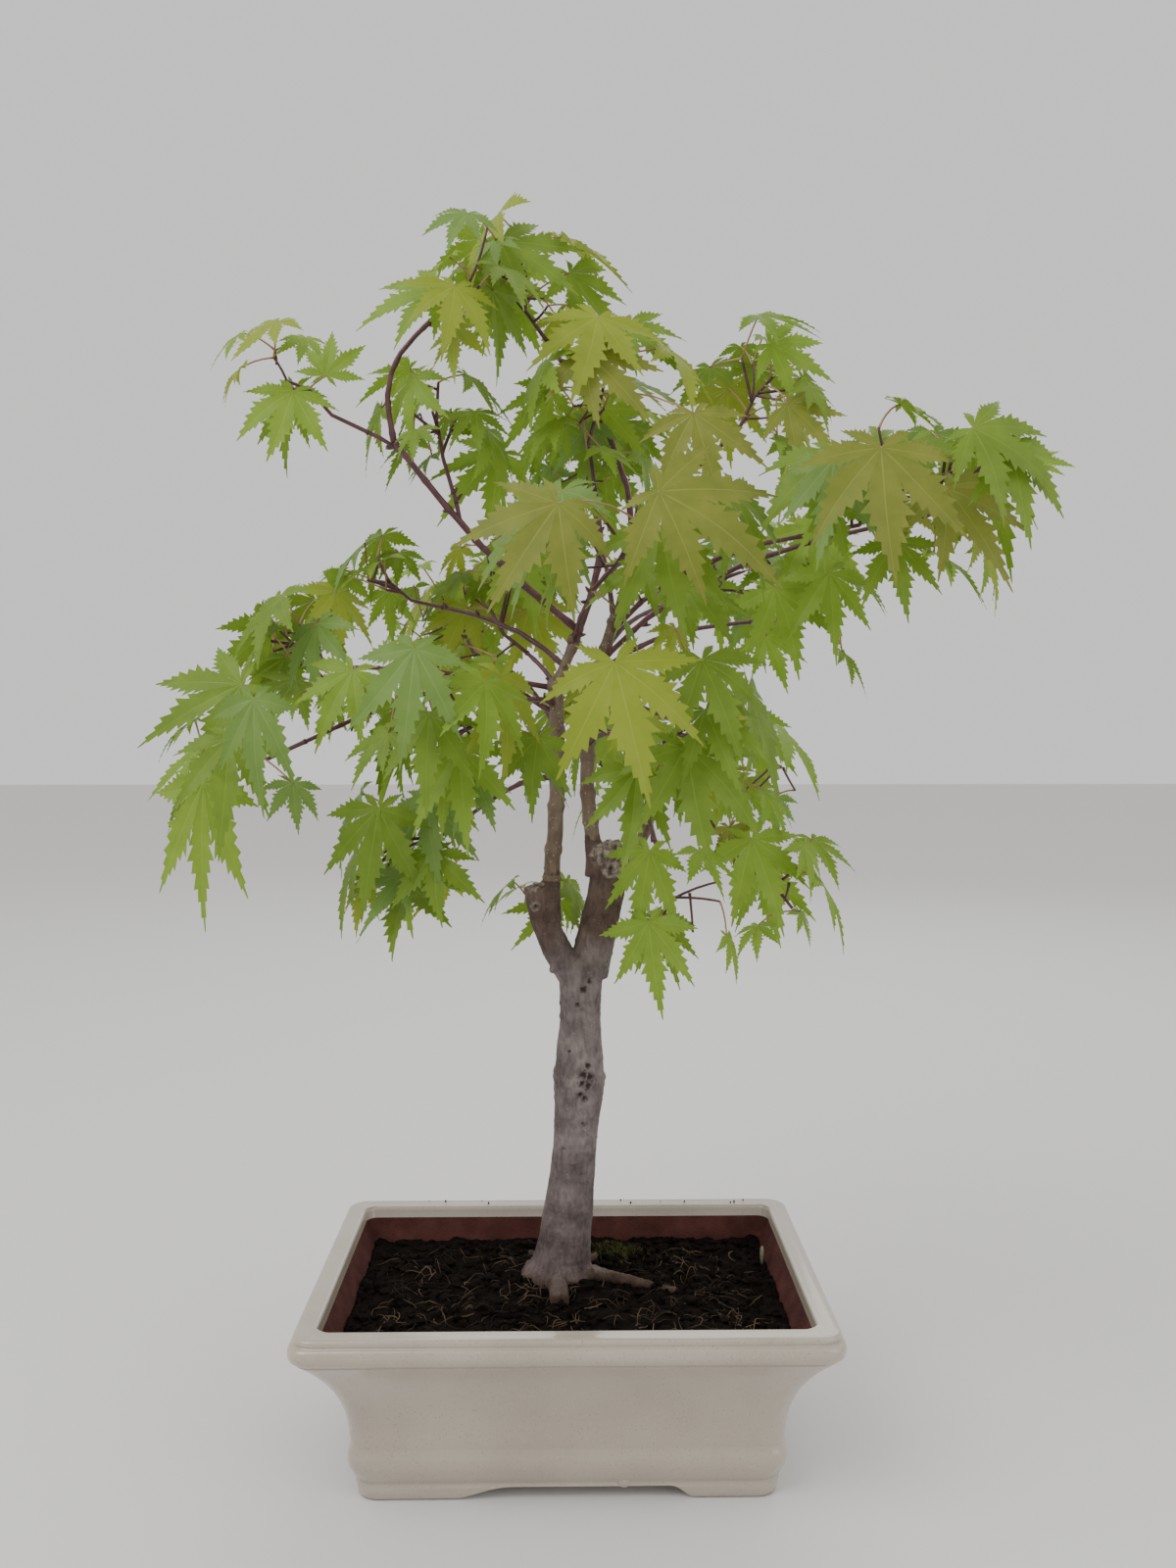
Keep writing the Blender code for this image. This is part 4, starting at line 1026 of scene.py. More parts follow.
class Effects:
    """The node groups that more than one finish uses."""

    def __init__(self) -> None:
        """Build each group once."""
        self.mottle = self.make_mottle()
        self.specks = self.make_specks()

    def start(self, name: str, inputs: dict[str, str]) -> Bench:
        """Start a group: a pattern's place, its scale and its own inputs give a colour and a mask."""
        tree = bpy.data.node_groups.new(name, "ShaderNodeTree")
        for label, kind in {"Vector": "Vector", "Scale": "Float", **inputs}.items():
            tree.interface.new_socket(label, in_out="INPUT", socket_type=f"NodeSocket{kind}")
        for label, kind in {"Color": "Color", "Mask": "Float"}.items():
            tree.interface.new_socket(label, in_out="OUTPUT", socket_type=f"NodeSocket{kind}")
        return Bench(tree)

    def make_mottle(self) -> bpy.types.NodeTree:
        """Build the cloudy blend of two colours, with its mask."""
        bench = self.start("mottle", {"Low": "Color", "High": "Color", "Softness": "Float"})
        given = bench.add("NodeGroupInput").outputs
        cloud = bench.noise(given["Vector"], given["Scale"], 5.0)
        low = bench.calc("SUBTRACT", 0.5, given["Softness"])
        high = bench.calc("ADD", 0.5, given["Softness"])
        mask = bench.span(cloud, low, high)
        colour = bench.blend(mask, given["Low"], given["High"])
        bench.add("NodeGroupOutput", {"Color": colour, "Mask": mask})
        return bench.tree

    def make_specks(self) -> bpy.types.NodeTree:
        """Build small round specks of a second colour over a first."""
        bench = self.start("specks", {"Share": "Float", "Base": "Color", "Speck": "Color"})
        given = bench.add("NodeGroupInput").outputs
        cells = bench.add(
            "ShaderNodeTexVoronoi", {"Vector": given["Vector"], "Scale": given["Scale"], "Randomness": 1.0}
        )
        near = bench.span(cells.outputs["Distance"], 0.12, 0.30, 1.0, 0.0)
        chance = bench.add("ShaderNodeSeparateColor", {"Color": cells.outputs["Color"]}).outputs[0]
        mask = bench.calc("MULTIPLY", near, bench.calc("LESS_THAN", chance, given["Share"]))
        colour = bench.blend(mask, given["Base"], given["Speck"])
        bench.add("NodeGroupOutput", {"Color": colour, "Mask": mask})
        return bench.tree


@dataclass(frozen=True)
class Finish:
    """A finish: its material's name, two cloudy colours and its gloss."""

    name: str
    low: Colour
    high: Colour
    roughness: float
    scale: float = 60.0
    softness: float = 0.16
    specular: float = 0.5

    def begin(self, effects: Effects) -> tuple[Bench, Material, bpy.types.Node, bpy.types.Node]:
        """Start the mottled material: gives its bench, itself, its shader and its mottle."""
        material = bpy.data.materials.new(self.name)
        material.use_nodes = True
        bench = Bench(material.node_tree)
        shader = material.node_tree.nodes["Principled BSDF"]
        inputs = {
            "Vector": bench.place(), "Scale": self.scale, "Low": self.low, "High": self.high,
            "Softness": self.softness,
        }
        mottle = bench.add("ShaderNodeGroup", inputs, node_tree=effects.mottle)
        bench.put(shader, {
            "Base Color": mottle.outputs["Color"], "Roughness": self.roughness,
            "Specular IOR Level": self.specular,
        })
        return bench, material, shader, mottle

    def make(self, effects: Effects) -> Material:
        """Make the plain mottled material."""
        return self.begin(effects)[1]


@dataclass(frozen=True)
class GlazeFinish(Finish):
    """The speckled cream glaze: each kind of speck has a scale, a share and a colour."""

    specks: tuple[tuple[float, float, Colour], ...] = (
        (1300.0, 0.17, (0.17, 0.12, 0.075)), (2200.0, 0.25, (0.62, 0.56, 0.46)),
    )

    def make(self, effects: Effects) -> Material:
        """Make the glaze: cloudy cream with fine brown and pale specks under a clear coat."""
        bench, material, shader, mottle = self.begin(effects)
        place = bench.place()
        colour = mottle.outputs["Color"]
        for scale, share, speck in self.specks:
            inputs = {"Vector": place, "Scale": scale, "Share": share, "Base": colour, "Speck": speck}
            colour = bench.add("ShaderNodeGroup", inputs, node_tree=effects.specks).outputs["Color"]
        waves = bench.noise(place, 45.0, 2.0)
        grain = bench.noise(place, 700.0, 2.0)
        height = bench.calc("ADD", waves, bench.calc("MULTIPLY", grain, 0.12))
        bench.put(shader, {
            "Base Color": colour, "Normal": bench.bump(height, 0.0006, 0.5),
            "Coat Weight": 0.8, "Coat Roughness": 0.08,
        })
        return material


@dataclass(frozen=True)
class BarkFinish(Finish):
    """Bark: cloudy colour, pale lenticels and fine ridges."""

    lenticels: float = 0.25
    speck_scale: float = 800.0
    ridges: float = 260.0
    relief: float = 0.0005
    pale: Colour = (0.46, 0.40, 0.35)

    def make(self, effects: Effects) -> Material:
        """Make the bark material."""
        bench, material, shader, mottle = self.begin(effects)
        place = bench.place()
        flat = bench.add("ShaderNodeMapping", {"Vector": place, "Scale": (1.0, 1.0, 0.45)}).outputs[0]
        inputs = {
            "Vector": place, "Scale": self.speck_scale, "Share": self.lenticels,
            "Base": mottle.outputs["Color"], "Speck": self.pale,
        }
        specks = bench.add("ShaderNodeGroup", inputs, node_tree=effects.specks)
        streak = bench.noise(flat, self.ridges, 6.0)
        shade = bench.span(streak, 0.3, 0.62, 0.72, 1.12)
        colour = self.tint(bench, bench.blend(1.0, specks.outputs["Color"], shade, "MULTIPLY"))
        height = bench.calc("ADD", streak, bench.calc("MULTIPLY", specks.outputs["Mask"], 0.3))
        bench.put(shader, {"Base Color": colour, "Normal": bench.bump(height, self.relief)})
        return material

    def tint(self, bench: Bench, colour: Socket) -> Socket:
        """Leave the colour as it is."""
        return colour


@dataclass(frozen=True)
class TrunkFinish(BarkFinish):
    """The old bark: redder at the foot, brown on the stubs, with calluses, wounds and roots by attribute.

    Heights are in metres.
    """

    foot: tuple[float, float] = (0.058, 0.125)
    foot_tint: Colour = (0.64, 0.56, 0.56)
    stub: tuple[float, float] = (0.196, 0.214)
    stub_tint: Colour = (0.62, 0.50, 0.41)
    root_tint: Colour = (0.56, 0.49, 0.34)
    callus: tuple[Colour, Colour] = ((0.110, 0.078, 0.062), (0.360, 0.300, 0.250))
    wound: Colour = (0.030, 0.020, 0.016)

    def tint(self, bench: Bench, colour: Socket) -> Socket:
        """Tint the foot, the stubs, the roots, the calluses and the wounds, with uneven edges."""
        place = bench.place()
        cloud = bench.noise(place, 90.0, 4.0)
        height = bench.add("ShaderNodeSeparateXYZ", {0: place}).outputs["Z"]
        uneven = bench.span(cloud, 0.0, 1.0, -0.014, 0.014)
        height = bench.calc("ADD", height, uneven)
        plain = (1.0, 1.0, 1.0)
        low = bench.blend(bench.span(height, *self.foot, 1.0, 0.0), plain, self.foot_tint)
        high = bench.blend(bench.span(height, *self.stub), plain, self.stub_tint)
        root = bench.blend(bench.mark("root"), plain, self.root_tint)
        for share in (low, high, root):
            colour = bench.blend(1.0, colour, share, "MULTIPLY")
        grain = bench.span(bench.noise(place, 420.0, 4.0), 0.38, 0.62)
        colour = bench.blend(bench.mark("callus"), colour, bench.blend(grain, *self.callus))
        return bench.blend(bench.mark("wound"), colour, self.wound)


@dataclass(frozen=True)
class LeafFinish(Finish):
    """A leaf's plain colour, a little of the light coming through it."""

    through: float = 0.35

    def make(self, effects: Effects) -> Material:
        """Make the leaf material: a soft skin mixed with a translucent one."""
        bench, material, shader, mottle = self.begin(effects)
        place = bench.place()
        net = bench.add("ShaderNodeTexVoronoi", {"Vector": place, "Scale": 900.0}, feature="DISTANCE_TO_EDGE")
        ridge = bench.span(net.outputs["Distance"], 0.0, 0.12, 1.0, 0.0)
        bench.put(shader, {"Normal": bench.bump(ridge, 0.00006, 0.6)})
        soft = bench.add("ShaderNodeBsdfTranslucent", {"Color": mottle.outputs["Color"]})
        mix = bench.add(
            "ShaderNodeMixShader", {0: self.through, 1: shader.outputs[0], 2: soft.outputs[0]}
        )
        bench.put(material.node_tree.nodes["Material Output"], {"Surface": mix.outputs[0]})
        return material


@dataclass(frozen=True)
class EarthFinish(Finish):
    """Peat, moss and raw clay: a matt colour with a crumbly surface."""

    grain: float = 900.0
    relief: float = 0.0006

    def make(self, effects: Effects) -> Material:
        """Make the matt material with its grain."""
        bench, material, shader, _ = self.begin(effects)
        height = bench.noise(bench.place(), self.grain, 5.0)
        bench.put(shader, {"Normal": bench.bump(height, self.relief)})
        return material


LEAF_COLOURS = {
    LeafTone.GREEN: ((0.150, 0.250, 0.020), (0.215, 0.330, 0.034), (0.230, 0.345, 0.042)),
    LeafTone.FRESH: ((0.200, 0.325, 0.026), (0.265, 0.405, 0.045), (0.285, 0.420, 0.058)),
    LeafTone.YELLOW: ((0.270, 0.345, 0.026), (0.335, 0.405, 0.042), (0.365, 0.420, 0.062)),
    LeafTone.BRONZE: ((0.188, 0.228, 0.028), (0.268, 0.288, 0.044), (0.295, 0.322, 0.062)),
    LeafTone.BLUISH: ((0.165, 0.285, 0.055), (0.215, 0.340, 0.075), (0.255, 0.380, 0.105)),
}


class Palette:
    """All finishes of the object, each made once."""

    def __init__(self) -> None:
        """Make every material."""
        effects = Effects()
        finishes = [
            GlazeFinish("cream_glaze", (0.355, 0.302, 0.240), (0.445, 0.388, 0.315), 0.28, 30.0, 0.3),
            EarthFinish("raw_clay", (0.055, 0.018, 0.015), (0.092, 0.032, 0.026), 0.9, 90.0, specular=0.15),
            EarthFinish(
                "peat", (0.003, 0.002, 0.0015), (0.011, 0.007, 0.005), 1.0, 260.0,
                specular=0.08, relief=0.0012,
            ),
            EarthFinish("peat_fibre", (0.016, 0.010, 0.006), (0.130, 0.085, 0.052), 0.85, 70.0, 0.1, 0.2),
            EarthFinish("moss", (0.026, 0.028, 0.008), (0.080, 0.085, 0.026), 0.95, 400.0, specular=0.1),
            EarthFinish("pale_bit", (0.13, 0.135, 0.085), (0.30, 0.275, 0.205), 0.6, 200.0, specular=0.4),
            TrunkFinish(
                "trunk_bark", (0.125, 0.098, 0.096), (0.235, 0.195, 0.187), 0.85, 95.0, 0.16, 0.3,
                lenticels=0.16, ridges=620.0, relief=0.0007, pale=(0.36, 0.32, 0.29),
            ),
            BarkFinish(
                "stem_bark", (0.115, 0.072, 0.045), (0.200, 0.140, 0.095), 0.6, 120.0, 0.2,
                lenticels=0.3, ridges=500.0, relief=0.0002,
            ),
            BarkFinish(
                "shoot_bark", (0.062, 0.017, 0.021), (0.130, 0.046, 0.048), 0.42, 160.0, 0.2,
                lenticels=0.06, ridges=600.0, relief=0.0001, pale=(0.20, 0.12, 0.10),
            ),
            Finish("petiole_skin", (0.330, 0.170, 0.090), (0.420, 0.260, 0.130), 0.5, 90.0),
        ]
        self.made = {finish.name: finish.make(effects) for finish in finishes}
        for tone, (low, high, vein) in LEAF_COLOURS.items():
            for kind, *colours in (("leaf", low, high), ("vein", vein, vein)):
                skin = LeafFinish(f"{kind}_{tone.value}", *colours, 0.5, 130.0, 0.25, 0.35)
                self.made[skin.name] = skin.make(effects)

    def __getitem__(self, name: str) -> Material:
        """Give a material by its finish's name."""
        return self.made[name]


class Workshop:
    """Turns finished bmeshes into pieces that ride on the part's one body."""

    def __init__(self, palette: Palette) -> None:
        """Take the palette."""
        self.palette = palette

    def piece(
        self, name: str, bm: BMesh, finishes: Sequence[str], slot: str,
        replaced: Iterable[str] = (), smooth: bool = True,
    ) -> bpy.types.Object:
        """Make an object of a bmesh and fix it to the part.

        Args:
            name: The piece's name.
            bm: Its mesh, which is freed.
            finishes: Its materials' names, in the order of its faces' material index.
            slot: The record's material slot; not used.
            replaced: The solids that it stands for.
            smooth: Whether its faces are shaded smooth.

        Returns:
            The piece.
        """
        for face in bm.faces:
            face.smooth = smooth
        piece = meshed(name, bm)
        for finish in finishes:
            piece.data.materials.append(self.palette[finish])
        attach(piece, "root")
        if replaced:
            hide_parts(*replaced)
        LOG.info("%s: %d faces", name, len(piece.data.polygons))
        return piece


def ring_frame(direction: Vector, before: Vector) -> Matrix:
    """Turn a ring to face along a limb, without twisting it against the side of the ring before."""
    side = before - direction * before.dot(direction)
    side = side.normalized() if side.length > 1e-6 else direction.orthogonal().normalized()
    other = direction.cross(side)
    return Matrix((side, other, direction)).transposed()


def sweep(
    bm: BMesh, points: Sequence[Vector], radii: Sequence[float], sides: int,
    material: int = 0, capped: bool = True,
) -> list[BMVert]:
    """Extrude a ring along a line.

    Args:
        bm: The bmesh that the tube is added to.
        points: The centre line.
        radii: The radius at each point.
        sides: How many sides the tube has.
        material: The faces' material index.
        capped: Whether both ends are closed.

    Returns:
        The tube's vertices.
    """
    first = (points[1] - points[0]).normalized()
    turn = ring_frame(first, first.orthogonal())
    made = bmesh.ops.create_circle(bm, cap_ends=False, segments=sides, radius=1.0)["verts"]
    spots = {vertex: vertex.co.copy() for vertex in made}
    every = list(made)
    edges = {edge for vertex in made for edge in vertex.link_edges}
    caps = [list(edges)]
    faces = []
    for index, (point, radius) in enumerate(zip(points, radii)):
        if index:
            ahead = points[min(index + 1, len(points) - 1)]
            turn = ring_frame((ahead - points[index - 1]).normalized(), turn.col[0])
            grown = bmesh.ops.extrude_edge_only(bm, edges=list(edges))["geom"]
            made = only(grown, BMVert)
            faces += only(grown, BMFace)
            edges = set(only(grown, BMEdge))
            carry_on(spots, made)
            every += made
        for vertex in made:
            vertex.co = point + turn @ (spots[vertex] * radius)
    caps.append(list(edges))
    if capped:
        for loop in caps:
            faces += bmesh.ops.edgeloop_fill(bm, edges=loop)["faces"]
    for face in faces:
        face.material_index = material
    return every


@dataclass
class GlazedPot:
    """The rectangular pot on four corner feet: sizes in millimetres."""

    length: float = 210.0
    depth: float = 150.0
    corner: float = 8.0
    inner_corner: float = 5.0
    corner_steps: int = 8
    flare_low: tuple[float, float] = (19.7, 23.0)
    flare_high: tuple[float, float] = (2.3, 62.0)
    flare_power: float = 2.15
    flare_steps: int = 22
    foot: list[tuple[float, float]] = field(default_factory=lambda: [
        (32.0, 5.5), (31.0, 0.5), (30.4, 0.0), (24.2, 0.0), (23.2, 0.3), (22.6, 1.2), (21.9, 5.4),
        (22.5, 6.6), (22.3, 7.6), (21.3, 8.6),
    ])
    bead: list[tuple[float, float]] = field(default_factory=lambda: [
        (20.4, 11.0), (19.5, 13.2), (19.1, 15.5), (19.1, 17.6), (19.4, 19.6), (20.3, 21.0), (20.2, 22.0),
    ])
    rim: list[tuple[float, float]] = field(default_factory=lambda: [
        (2.45, 62.5), (2.2, 62.8), (1.3, 63.2), (0.5, 64.2), (0.1, 65.6), (0.0, 67.0), (0.15, 68.3),
        (0.55, 69.2), (1.2, 69.8), (1.75, 70.0), (1.95, 70.3), (1.8, 70.8), (1.75, 71.8), (1.95, 72.5),
        (2.6, 72.95), (5.0, 72.8), (8.4, 72.8), (9.1, 73.0), (9.7, 72.9), (10.2, 72.3), (10.5, 71.2),
        (10.7, 68.0),
    ])
    wall: list[tuple[float, float]] = field(default_factory=lambda: [
        (10.9, 67.6), (12.8, 64.0), (15.2, 59.5), (21.5, 45.0),
    ])
    arch_height: float = 5.6
    front_arch: tuple[float, float, float, float] = (-49.0, -22.0, 40.0, 51.0)
    side_arch: tuple[float, float, float, float] = (-30.0, -18.0, 18.0, 30.0)
    arch_steps: int = 10
    drips: list[tuple[float, ...]] = field(default_factory=lambda: [
        (21.8, -51.6, 7.0, 3.0, 1.8, 2.6), (20.5, -52.6, 10.4, 4.6, 1.5, 2.2),
        (-58.0, -52.4, 8.6, 3.0, 1.2, 1.4),
    ])

    def profile(self) -> list[tuple[float, float]]:
        """List the whole section from the inner foot over the rim to the inner wall."""
        flare = []
        for step in range(1, self.flare_steps + 1):
            share = step / self.flare_steps
            inset = self.flare_low[0] + (self.flare_high[0] - self.flare_low[0]) * share**self.flare_power
            height = self.flare_low[1] + (self.flare_high[1] - self.flare_low[1]) * share
            flare.append((inset, height))
        return self.foot + self.bead + flare + self.rim + self.wall

    def level(self, inset: float, height: float, corner: float, spot: tuple[int, int, float]) -> Vector:
        """Place a level's point, given by its corner's signs and its angle there."""
        side_x, side_y, angle = spot
        x = side_x * (self.length / 2 - inset - corner) + corner * math.cos(angle)
        y = side_y * (self.depth / 2 - inset - corner) + corner * math.sin(angle)
        return vector((x, y, height))

    def shell(self) -> BMesh:
        """Extrude the rounded outline through every level of the profile."""
        bm = bmesh.new()
        verts = bmesh.ops.create_grid(bm, x_segments=1, y_segments=1, size=1.0)["verts"]
        bmesh.ops.bevel(
            bm, geom=verts, offset=0.2, offset_type="OFFSET", affect="VERTICES",
            segments=self.corner_steps, profile=0.5, material=-1,
        )
        spots = {}
        for vertex in bm.verts:
            side_x, side_y = math.copysign(1, vertex.co.x), math.copysign(1, vertex.co.y)
            centre = Vector((side_x * 0.8, side_y * 0.8))
            offset = vertex.co.xy - centre
            spots[vertex] = (int(side_x), int(side_y), math.atan2(offset.y, offset.x))
        bmesh.ops.delete(bm, geom=bm.faces[:], context="FACES_ONLY")
        edges = bm.edges[:]
        profile = self.profile()
        wall = len(profile) - len(self.wall)
        for index, (inset, height) in enumerate(profile):
            if index:
                grown = bmesh.ops.extrude_edge_only(bm, edges=edges)["geom"]
                edges = only(grown, BMEdge)
                made = only(grown, BMVert)
                carry_on(spots, made)
            else:
                made = bm.verts[:]
            corner = self.corner if index < wall - 4 else self.inner_corner
            for vertex in made:
                vertex.co = self.level(inset, height, corner, spots[vertex])
            bare = index >= wall or height < 0.4
            for face in {face for edge in edges for face in edge.link_faces} if index else ():
                face.material_index = int(bare)
        base = [edge for edge in bm.edges if edge.is_boundary and edge.verts[0].co.z < 10 * MM]
        for part in bmesh.ops.edgeloop_fill(bm, edges=base)["faces"]:
            part.material_index = 1
        bmesh.ops.recalc_face_normals(bm, faces=bm.faces)
        return bm

    def arch(self, spans: tuple[float, float, float, float], along_y: bool) -> bpy.types.Object:
        """Make the cutter for the low arches between the feet."""
        left, left_top, right_top, right = spans
        outline = [(left, -self.arch_height), (left, 0.0)]
        for foot, top in ((left, left_top), (right, right_top)):
            side = []
            for step in range(1, self.arch_steps + 1):
                share = step / self.arch_steps
                rise = self.arch_height * (1 - math.cos(math.pi * share)) / 2
                side.append((foot + (top - foot) * share, rise))
            outline += side if foot == left else side[::-1]
        outline += [(right, 0.0), (right, -self.arch_height)]
        bm = bmesh.new()
        reach = -self.length
        for across, height in outline:
            bm.verts.new(vector((across, reach, height) if along_y else (reach, across, height)))
        face = bm.faces.new(bm.verts[:])
        grown = bmesh.ops.extrude_face_region(bm, geom=[face])["geom"]
        run = 2 * self.length * MM
        bmesh.ops.translate(bm, verts=only(grown, BMVert), vec=(0, run, 0) if along_y else (run, 0, 0))
        bmesh.ops.recalc_face_normals(bm, faces=bm.faces)
        return meshed("arch", bm)

    def cut_feet(self, bm: BMesh) -> BMesh:
        """Cut the arches between the feet out of the shell's foot."""
        blank = meshed("pot_blank", bm)
        cutters = [self.arch(self.front_arch, True), self.arch(self.side_arch, False)]
        for cutter in cutters:
            cut = blank.modifiers.new("arch", "BOOLEAN")
            cut.operation = "DIFFERENCE"
            cut.object = cutter
        return settled(blank, *cutters)

    def build(self, workshop: Workshop) -> None:
        """Make the pot and put it in its solid's place."""
        bm = self.shell()
        bmesh.ops.triangulate(bm, faces=[face for face in bm.faces if len(face.verts) > 4])
        bm = self.cut_feet(bm)
        for drip in self.drips:
            add_lump(bm, drip[:3], drip[3:])
        piece = workshop.piece("glazed_pot", bm, ("cream_glaze", "raw_clay"), "glaze", ("pot",))
        piece.data.set_sharp_from_angle(angle=math.radians(50))


@dataclass
class SoilBed:
    """The peat that fills the pot, with crumbs, fibres and moss: sizes in millimetres."""

    half_x: float = 89.2
    half_y: float = 59.2
    top: float = 59.7
    steps: tuple[int, int] = (150, 100)
    crumbs: int = 1700
    fibres: int = 380
    tall_fibres: int = 16
    moss_tufts: int = 700
    moss_centre: tuple[float, float] = (21.0, 38.0)
    rim_crumbs: int = 16
    wall_bits: list[tuple[float, ...]] = field(default_factory=lambda: [
        (86.8, 27.0, 64.0, 0.9, 2.2, 4.4), (86.0, -49.5, 61.5, 4.2, 4.6, 3.4),
        (81.5, -54.0, 59.8, 2.2, 2.0, 1.4),
    ])
    seed: int = 12

    def height(self, x: float, y: float) -> float:
        """Give the soil's height in metres at a place in metres."""
        place = Vector((x, y, 0.0))
        coarse = noise.fractal(place / 0.016, 0.9, 2.1, 5) * 1.9
        fine = noise.fractal(place / 0.004 + Vector((7.0, 1.0, 3.0)), 0.7, 2.2, 4) * 1.2
        away = math.hypot(x - vector(TRUNK_FOOT).x, y - vector(TRUNK_FOOT).y) / 0.030
        mound = 1.6 * math.exp(-away * away)
        moss = math.hypot(x / MM - self.moss_centre[0], y / MM - self.moss_centre[1]) / 11.0
        return (self.top - 0.4 + coarse + fine + mound + 3.0 * math.exp(-moss * moss)) * MM

    def bed(self) -> BMesh:
        """Make the uneven surface with a skirt down the pot's wall."""
        bm = bmesh.new()
        bmesh.ops.create_grid(bm, x_segments=self.steps[0], y_segments=self.steps[1], size=1.0)
        for vertex in bm.verts:
            x, y = vertex.co.x * self.half_x * MM, vertex.co.y * self.half_y * MM
            vertex.co = (x, y, self.height(x, y))
        rim = [edge for edge in bm.edges if edge.is_boundary]
        grown = bmesh.ops.extrude_edge_only(bm, edges=rim)["geom"]
        for vertex in only(grown, BMVert):
            vertex.co = (vertex.co.x * 0.96, vertex.co.y * 0.94, (self.top - 8.0) * MM)
        return bm

    def crumb_bed(self) -> BMesh:
        """Scatter crumbs of peat on the surface."""
        rng = random.Random(self.seed)
        bm = bmesh.new()
        for _ in range(self.crumbs):
            x = rng.uniform(-1, 1) * (self.half_x - 3) * MM
            y = rng.uniform(-1, 1) * (self.half_y - 3) * MM
            size = rng.uniform(0.4, 1.25) ** 3 * 1.4 * MM
            made = bmesh.ops.create_icosphere(bm, subdivisions=1, radius=size)["verts"]
            squash = Vector((rng.uniform(0.7, 1.3), rng.uniform(0.7, 1.3), rng.uniform(0.5, 0.9)))
            place = Vector((x, y, self.height(x, y) + size * 0.25))
            turn = Matrix.Rotation(rng.uniform(0, 6.3), 3, "Z")
            for vertex in made:
                vertex.co = place + turn @ (vertex.co * squash * rng.uniform(0.7, 1.3))
        for _ in range(self.rim_crumbs):
            made = bmesh.ops.create_icosphere(bm, subdivisions=1, radius=rng.uniform(0.25, 0.6) * MM)["verts"]
            shift = vector((rng.uniform(-70, 92), rng.uniform(66.5, 72.0), 73.1))
            bmesh.ops.translate(bm, verts=made, vec=shift)
        return bm

    def bits(self) -> BMesh:
        """Lay the pale husks and pebbles against the pot's wall."""
        bm = bmesh.new()
        for bit in self.wall_bits:
            add_lump(bm, bit[:3], bit[3:], 0.25)
        return bm

    def fibre_bed(self) -> BMesh:
        """Scatter curved root and bark fibres on the surface."""
        rng = random.Random(self.seed + 1)
        bm = bmesh.new()
        for index in range(self.fibres):
            x = rng.uniform(-1, 1) * (self.half_x - 14) * MM
            y = rng.uniform(-1, 1) * (self.half_y - 14) * MM
            heading = rng.uniform(0, 2 * math.pi)
            curl = rng.uniform(-0.5, 0.5)
            step = rng.uniform(0.8, 3.6) * MM
            rise = rng.uniform(*((5.0, 9.0) if index < self.tall_fibres else (0.2, 2.4))) * MM
            points = []
            for place in range(6):
                arch = math.sin(math.pi * place / 5)
                points.append(Vector((x, y, self.height(x, y) + 0.1 * MM + rise * arch)))
                x += math.cos(heading) * step
                y += math.sin(heading) * step
                heading += curl
            girth = rng.uniform(0.10, 0.30) * MM
            sweep(bm, points, [girth, girth, girth, girth * 0.8, girth * 0.6, girth * 0.3], 4)
        return bm

    def moss_bed(self) -> BMesh:
        """Heap small tufts of moss behind the trunk."""
        rng = random.Random(self.seed + 2)
        bm = bmesh.new()
        for _ in range(self.moss_tufts):
            x = rng.gauss(self.moss_centre[0], 6.5) * MM
            y = rng.gauss(self.moss_centre[1], 4.5) * MM
            place = Vector((x, y, self.height(x, y) - 0.4 * MM))
            lean = Matrix.Rotation(rng.uniform(-0.6, 0.6), 3, "X")
            lean = lean @ Matrix.Rotation(rng.uniform(-0.6, 0.6), 3, "Y")
            size = rng.uniform(0.5, 1.2) * MM
            made = bmesh.ops.create_cone(
                bm, cap_ends=True, segments=5, radius1=0.45 * size, radius2=0.12 * size, depth=2.2 * size,
            )["verts"]
            for vertex in made:
                vertex.co = place + lean @ (vertex.co + Vector((0.0, 0.0, size)))
        return bm

    def build(self, workshop: Workshop) -> None:
        """Make the bed and what lies on it."""
        workshop.piece("peat_bed", self.bed(), ("peat",), "soil", ("soil",))
        workshop.piece("peat_crumbs", self.crumb_bed(), ("peat",), "soil", smooth=False)
        workshop.piece("peat_fibres", self.fibre_bed(), ("peat_fibre",), "soil")
        workshop.piece("wall_bits", self.bits(), ("pale_bit",), "soil")
        workshop.piece("moss_clump", self.moss_bed(), ("moss",), "soil", smooth=False)


